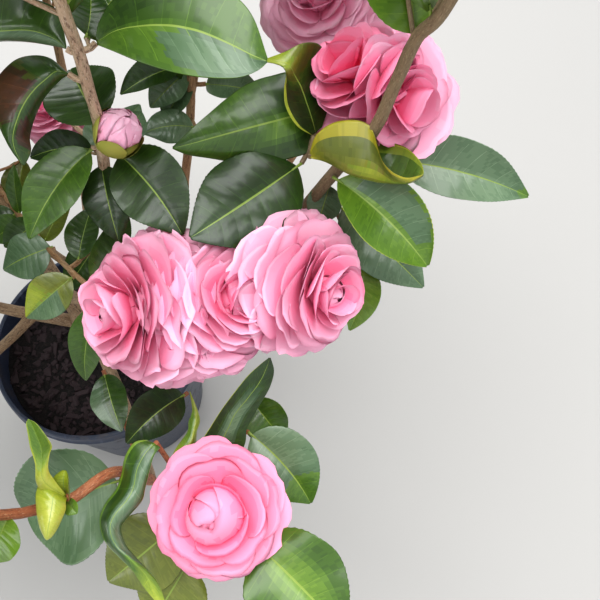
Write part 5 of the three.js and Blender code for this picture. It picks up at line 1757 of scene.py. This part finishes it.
def make_soil():
    material = plain_material("potting soil", (34, 26, 24), 0.9)
    bench, shader, place = shader_bench(material)
    crumbs = bench.noise(place, 420.0, 6.0, 0.7)
    fibres = bench.noise(bench.vector("MULTIPLY", place, (1.0, 0.3, 1.0)), 700.0, 3.0)
    colour = bench.blend(bench.steps(crumbs, 0.4, 0.66), (12, 10, 11), (44, 34, 33))
    colour = bench.blend(bench.steps(fibres, 0.66, 0.76, 0.0, 0.7), colour, (88, 66, 62))
    bench.lead(colour, shader["Base Color"])
    relieve(bench, shader, crumbs, 1.0, 0.003)
    return material


def chip_shape(name, size, seed):
    """One broken chip of bark."""
    rng = np.random.default_rng(seed)
    corners = np.array([(x, y, z) for x in (-1, 1) for y in (-1, 1) for z in (-1, 1)], float)
    corners *= np.array(size) / 2
    corners += rng.uniform(-0.2, 0.2, corners.shape) * np.array(size)
    box = bmesh.new()
    for corner in corners:
        box.verts.new(corner)
    bmesh.ops.convex_hull(box, input=box.verts)
    bmesh.ops.bevel(box, geom=box.edges[:], offset=min(size) * 0.14, segments=1, affect="EDGES")
    mesh = bpy.data.meshes.new(name)
    box.to_mesh(mesh)
    box.free()
    return bpy.data.objects.new(name, mesh)


def build_chip_tree(shape_names):
    """Chips scattered over a bed, each turned its own way and a little sunk in."""
    tree = new_tree("bark chips", "GeometryNodeTree", [
        ("Bed", "Geometry"), ("Density", "Float", 20000.0), ("Smallest", "Float", 0.4),
        ("Largest", "Float", 1.3), ("Seed", "Int", 5), ("Chip Brown", "Material"),
        *[(name, "Object") for name in shape_names]], [("Chips", "Geometry")])
    bench = Bench(tree)
    bed, density, smallest, largest, seed, brown, *shapes = bench.taken()
    spots = bench.get("GeometryNodeDistributePointsOnFaces", {0: bed, 4: density, 6: seed})
    index = bench.get("GeometryNodeInputIndex")
    tip, lean = (bench.random(-0.5, 0.5, index, number) for number in (1, 2))
    turn = bench.turned(tip, lean, bench.random(0.0, 6.283, index, 3))
    size = bench.random(smallest, largest, index, 4)
    choice = bench.math("FLOOR", bench.random(0.0, len(shapes) - 0.001, index, 5))
    chips = [bench.planted(spots, shape, turn, size, bench.compare("EQUAL", choice, float(number), 0.2))
             for number, shape in enumerate(shapes)]
    bench.give(bench.finish_pieces(bench.joined(chips), brown))
    return tree


def chip_bed(soil):
    """The soil's top, a little raised and drawn in, for chips to lie on."""
    faces = [face.vertices for face in soil.data.polygons if face.normal.z > 0.3]
    numbers = sorted({number for face in faces for number in face})
    renumbered = {old: new for new, old in enumerate(numbers)}
    points = [soil.data.vertices[number].co * BED_SHARE + BED_RISE for number in numbers]
    bed = bpy.data.meshes.new("bed")
    bed.from_pydata(points, [], [[renumbered[number] for number in face] for face in faces])
    return bed


# The shrub and its pot

def hand_over(piece, slot, *nodes):
    """A piece takes the place of nodes of the solids, on the shrub's one body."""
    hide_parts(*nodes)
    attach(piece, "root")


DRESS_SEED = 97
shrub = Shrub()
dress = Chance(DRESS_SEED)

bark_tree = build_bark_tree()
bark_look = build_bark_look()
BARK_COLOURS = {
    # young and middle patches, fissures and pale spots, and how cracked it is
    "old": ((142, 116, 90), (164, 138, 110), (72, 54, 42), (200, 182, 156), 0.85),
    "young": ((160, 122, 86), (172, 142, 108), (106, 76, 54), (200, 172, 138), 0.85),
    "pale": ((192, 164, 136), (206, 180, 152), (110, 84, 64), (232, 216, 194), 1.0),
    "olive": ((128, 110, 84), (144, 124, 96), (98, 74, 56), (172, 154, 126), 0.5),
    "red": ((156, 92, 60), (170, 110, 74), (102, 58, 40), (200, 156, 122), 0.7),
}
barks = {name: make_bark(f"{name} bark", bark_look, *colours) for name, colours in BARK_COLOURS.items()}
TWIG_BARKS = {"tall_left": "pale", "right": "olive", "front": "red"}
BOUGH_FLARE = 0.28
LIMB_STEPS = {"trunk": 2.5, "bough": 3, "leader": 4, "named": 4, "twig": 4, "stalk": 4, "fine": 6}

limbs = [limb_points(shrub.lines["trunk"], trunk_radius, LIMB_STEPS["trunk"])]
limbs += [limb_points(shrub.lines[entry["name"]], tapered(entry["bough"], BOUGH_FLARE), LIMB_STEPS["bough"])
          for entry in SHOOTS]
wood = run_tree("trunk_and_boughs", limb_mesh(limbs), bark_tree, Sides=22, Relief_Depth=0.22,
                Relief_Scale=260.0, Stretch=0.22, Bark=barks["old"])
hand_over(placed("trunk_and_boughs", wood), "bark", "trunk", *[f"bough_{name}" for name in MASSES])

leaf_materials = [plain_material(f"leaf {family} {round(place * SHADE_STEPS)}", colour, 0.4,
                                 Coat_Weight=0.45, Coat_Roughness=0.15, Specular_IOR_Level=0.5)
                  for (family, place), colour in zip(SHADES, PALETTE)]
leaf_materials += [plain_material("leaf rib", (134, 156, 70), 0.42),
                   plain_material("leaf margin", (124, 140, 66), 0.42),
                   plain_material("leaf underside", (112, 134, 78), 0.55)]
petal_materials = [plain_material(f"petal {i}", colour, 0.65, Specular_IOR_Level=0.15)
                   for i, colour in enumerate(PETAL_TONES)]
flower_materials = [*petal_materials, plain_material("sepal", (168, 168, 78), 0.5)]
petal_sets = {detail: {kind: petal_mesh(kind, *grid) for kind in (*PETAL_KINDS, *WRAPPING_KINDS)}
              for detail, grid in PETAL_GRIDS.items()}
bloom_tree = build_bloom_tree()

for name in MASSES:
    node = f"foliage_{name}"
    limbs = [limb_points(limb["line"], tapered(limb["ends"]), LIMB_STEPS[limb["kind"]])
             for limb in shrub.wood[name]]
    bark = barks[TWIG_BARKS.get(name, "young")]
    twigs = run_tree(f"twigs_{name}", limb_mesh(limbs), bark_tree, Bark=bark)
    hand_over(placed(f"twigs_{name}", twigs), "bark", node)
    own_leaves = [leaf for leaf in shrub.leaves if leaf.mass == name]
    hand_over(make_leaves(f"leaves_{name}", own_leaves, leaf_materials, dress), "foliage", node)
    own_blooms, own_buds = ([flower for flower in flowers if flower["mass"] == name]
                            for flowers in (shrub.blooms, shrub.buds))
    if own_blooms or own_buds:
        hand_over(make_blooms(f"blooms_{name}", own_blooms, own_buds, flower_materials, petal_sets,
                              bloom_tree), "foliage", node)

hand_over(build_pot(make_plastic()), "pot", "nursery_pot")
soil = build_soil(make_soil())
chip_brown = plain_material("bark chip", (50, 37, 40), 0.8)
CHIP_SIZES = ((0.009, 0.006, 0.0025), (0.006, 0.004, 0.003), (0.013, 0.005, 0.003), (0.005, 0.0045, 0.002))
chip_shapes = {f"Chip_{i}": chip_shape(f"chip_{i}", size, i) for i, size in enumerate(CHIP_SIZES)}
chips = run_tree("soil_chips", chip_bed(soil), build_chip_tree(chip_shapes), Chip_Brown=chip_brown,
                 **chip_shapes)
for piece in (soil, placed("soil_chips", chips)):
    hand_over(piece, "soil", "potting_soil")

# Floor, light and camera

HALF_FLOOR = 6
floor_corners = [(-HALF_FLOOR, -HALF_FLOOR, 0), (HALF_FLOOR, -HALF_FLOOR, 0),
                 (HALF_FLOOR, HALF_FLOOR, 0), (-HALF_FLOOR, HALF_FLOOR, 0)]
floor_mesh = bpy.data.meshes.new("floor")
floor_mesh.from_pydata(floor_corners, [], [(0, 1, 2, 3)])
floor_mesh.materials.append(plain_material("pale floor", (172, 170, 167), 0.8))
floor = placed("floor", floor_mesh)

scene = bpy.context.scene
scene.world = bpy.data.worlds.new("studio")
scene.world.use_nodes = True
background = scene.world.node_tree.nodes["Background"].inputs
background["Color"].default_value = (0.94, 0.97, 1.0, 1.0)
background["Strength"].default_value = 0.82


def add_lamp(name, place, aim, size, power):
    """A soft square lamp, aimed at a point."""
    data = bpy.data.lights.new(name, "AREA")
    data.size = size
    data.energy = power
    lamp = placed(name, data)
    lamp.location = place
    lamp.rotation_euler = (Vector(aim) - Vector(place)).to_track_quat("-Z", "Y").to_euler()


LAMP_AIM = (0, 0, 0.5)
add_lamp("overhead", (0.2, 0.5, 2.8), LAMP_AIM, size=2.7, power=96)
add_lamp("side", (-2.0, -1.2, 1.8), LAMP_AIM, size=1.6, power=22)

SENSOR_WIDTH = 36
lens_camera = bpy.data.cameras.new("camera")
lens_camera.sensor_width = SENSOR_WIDTH
lens_camera.lens = FOCAL_PIXELS / FRAME_PIXELS * SENSOR_WIDTH
lens_camera.clip_start = 0.01
camera = placed("camera", lens_camera)
camera.location = EYE * MM
camera.rotation_euler = (VIEW_TILT, 0, 0)
scene.camera = camera

scene.view_settings.view_transform = "Standard"
scene.view_settings.look = "Medium High Contrast"
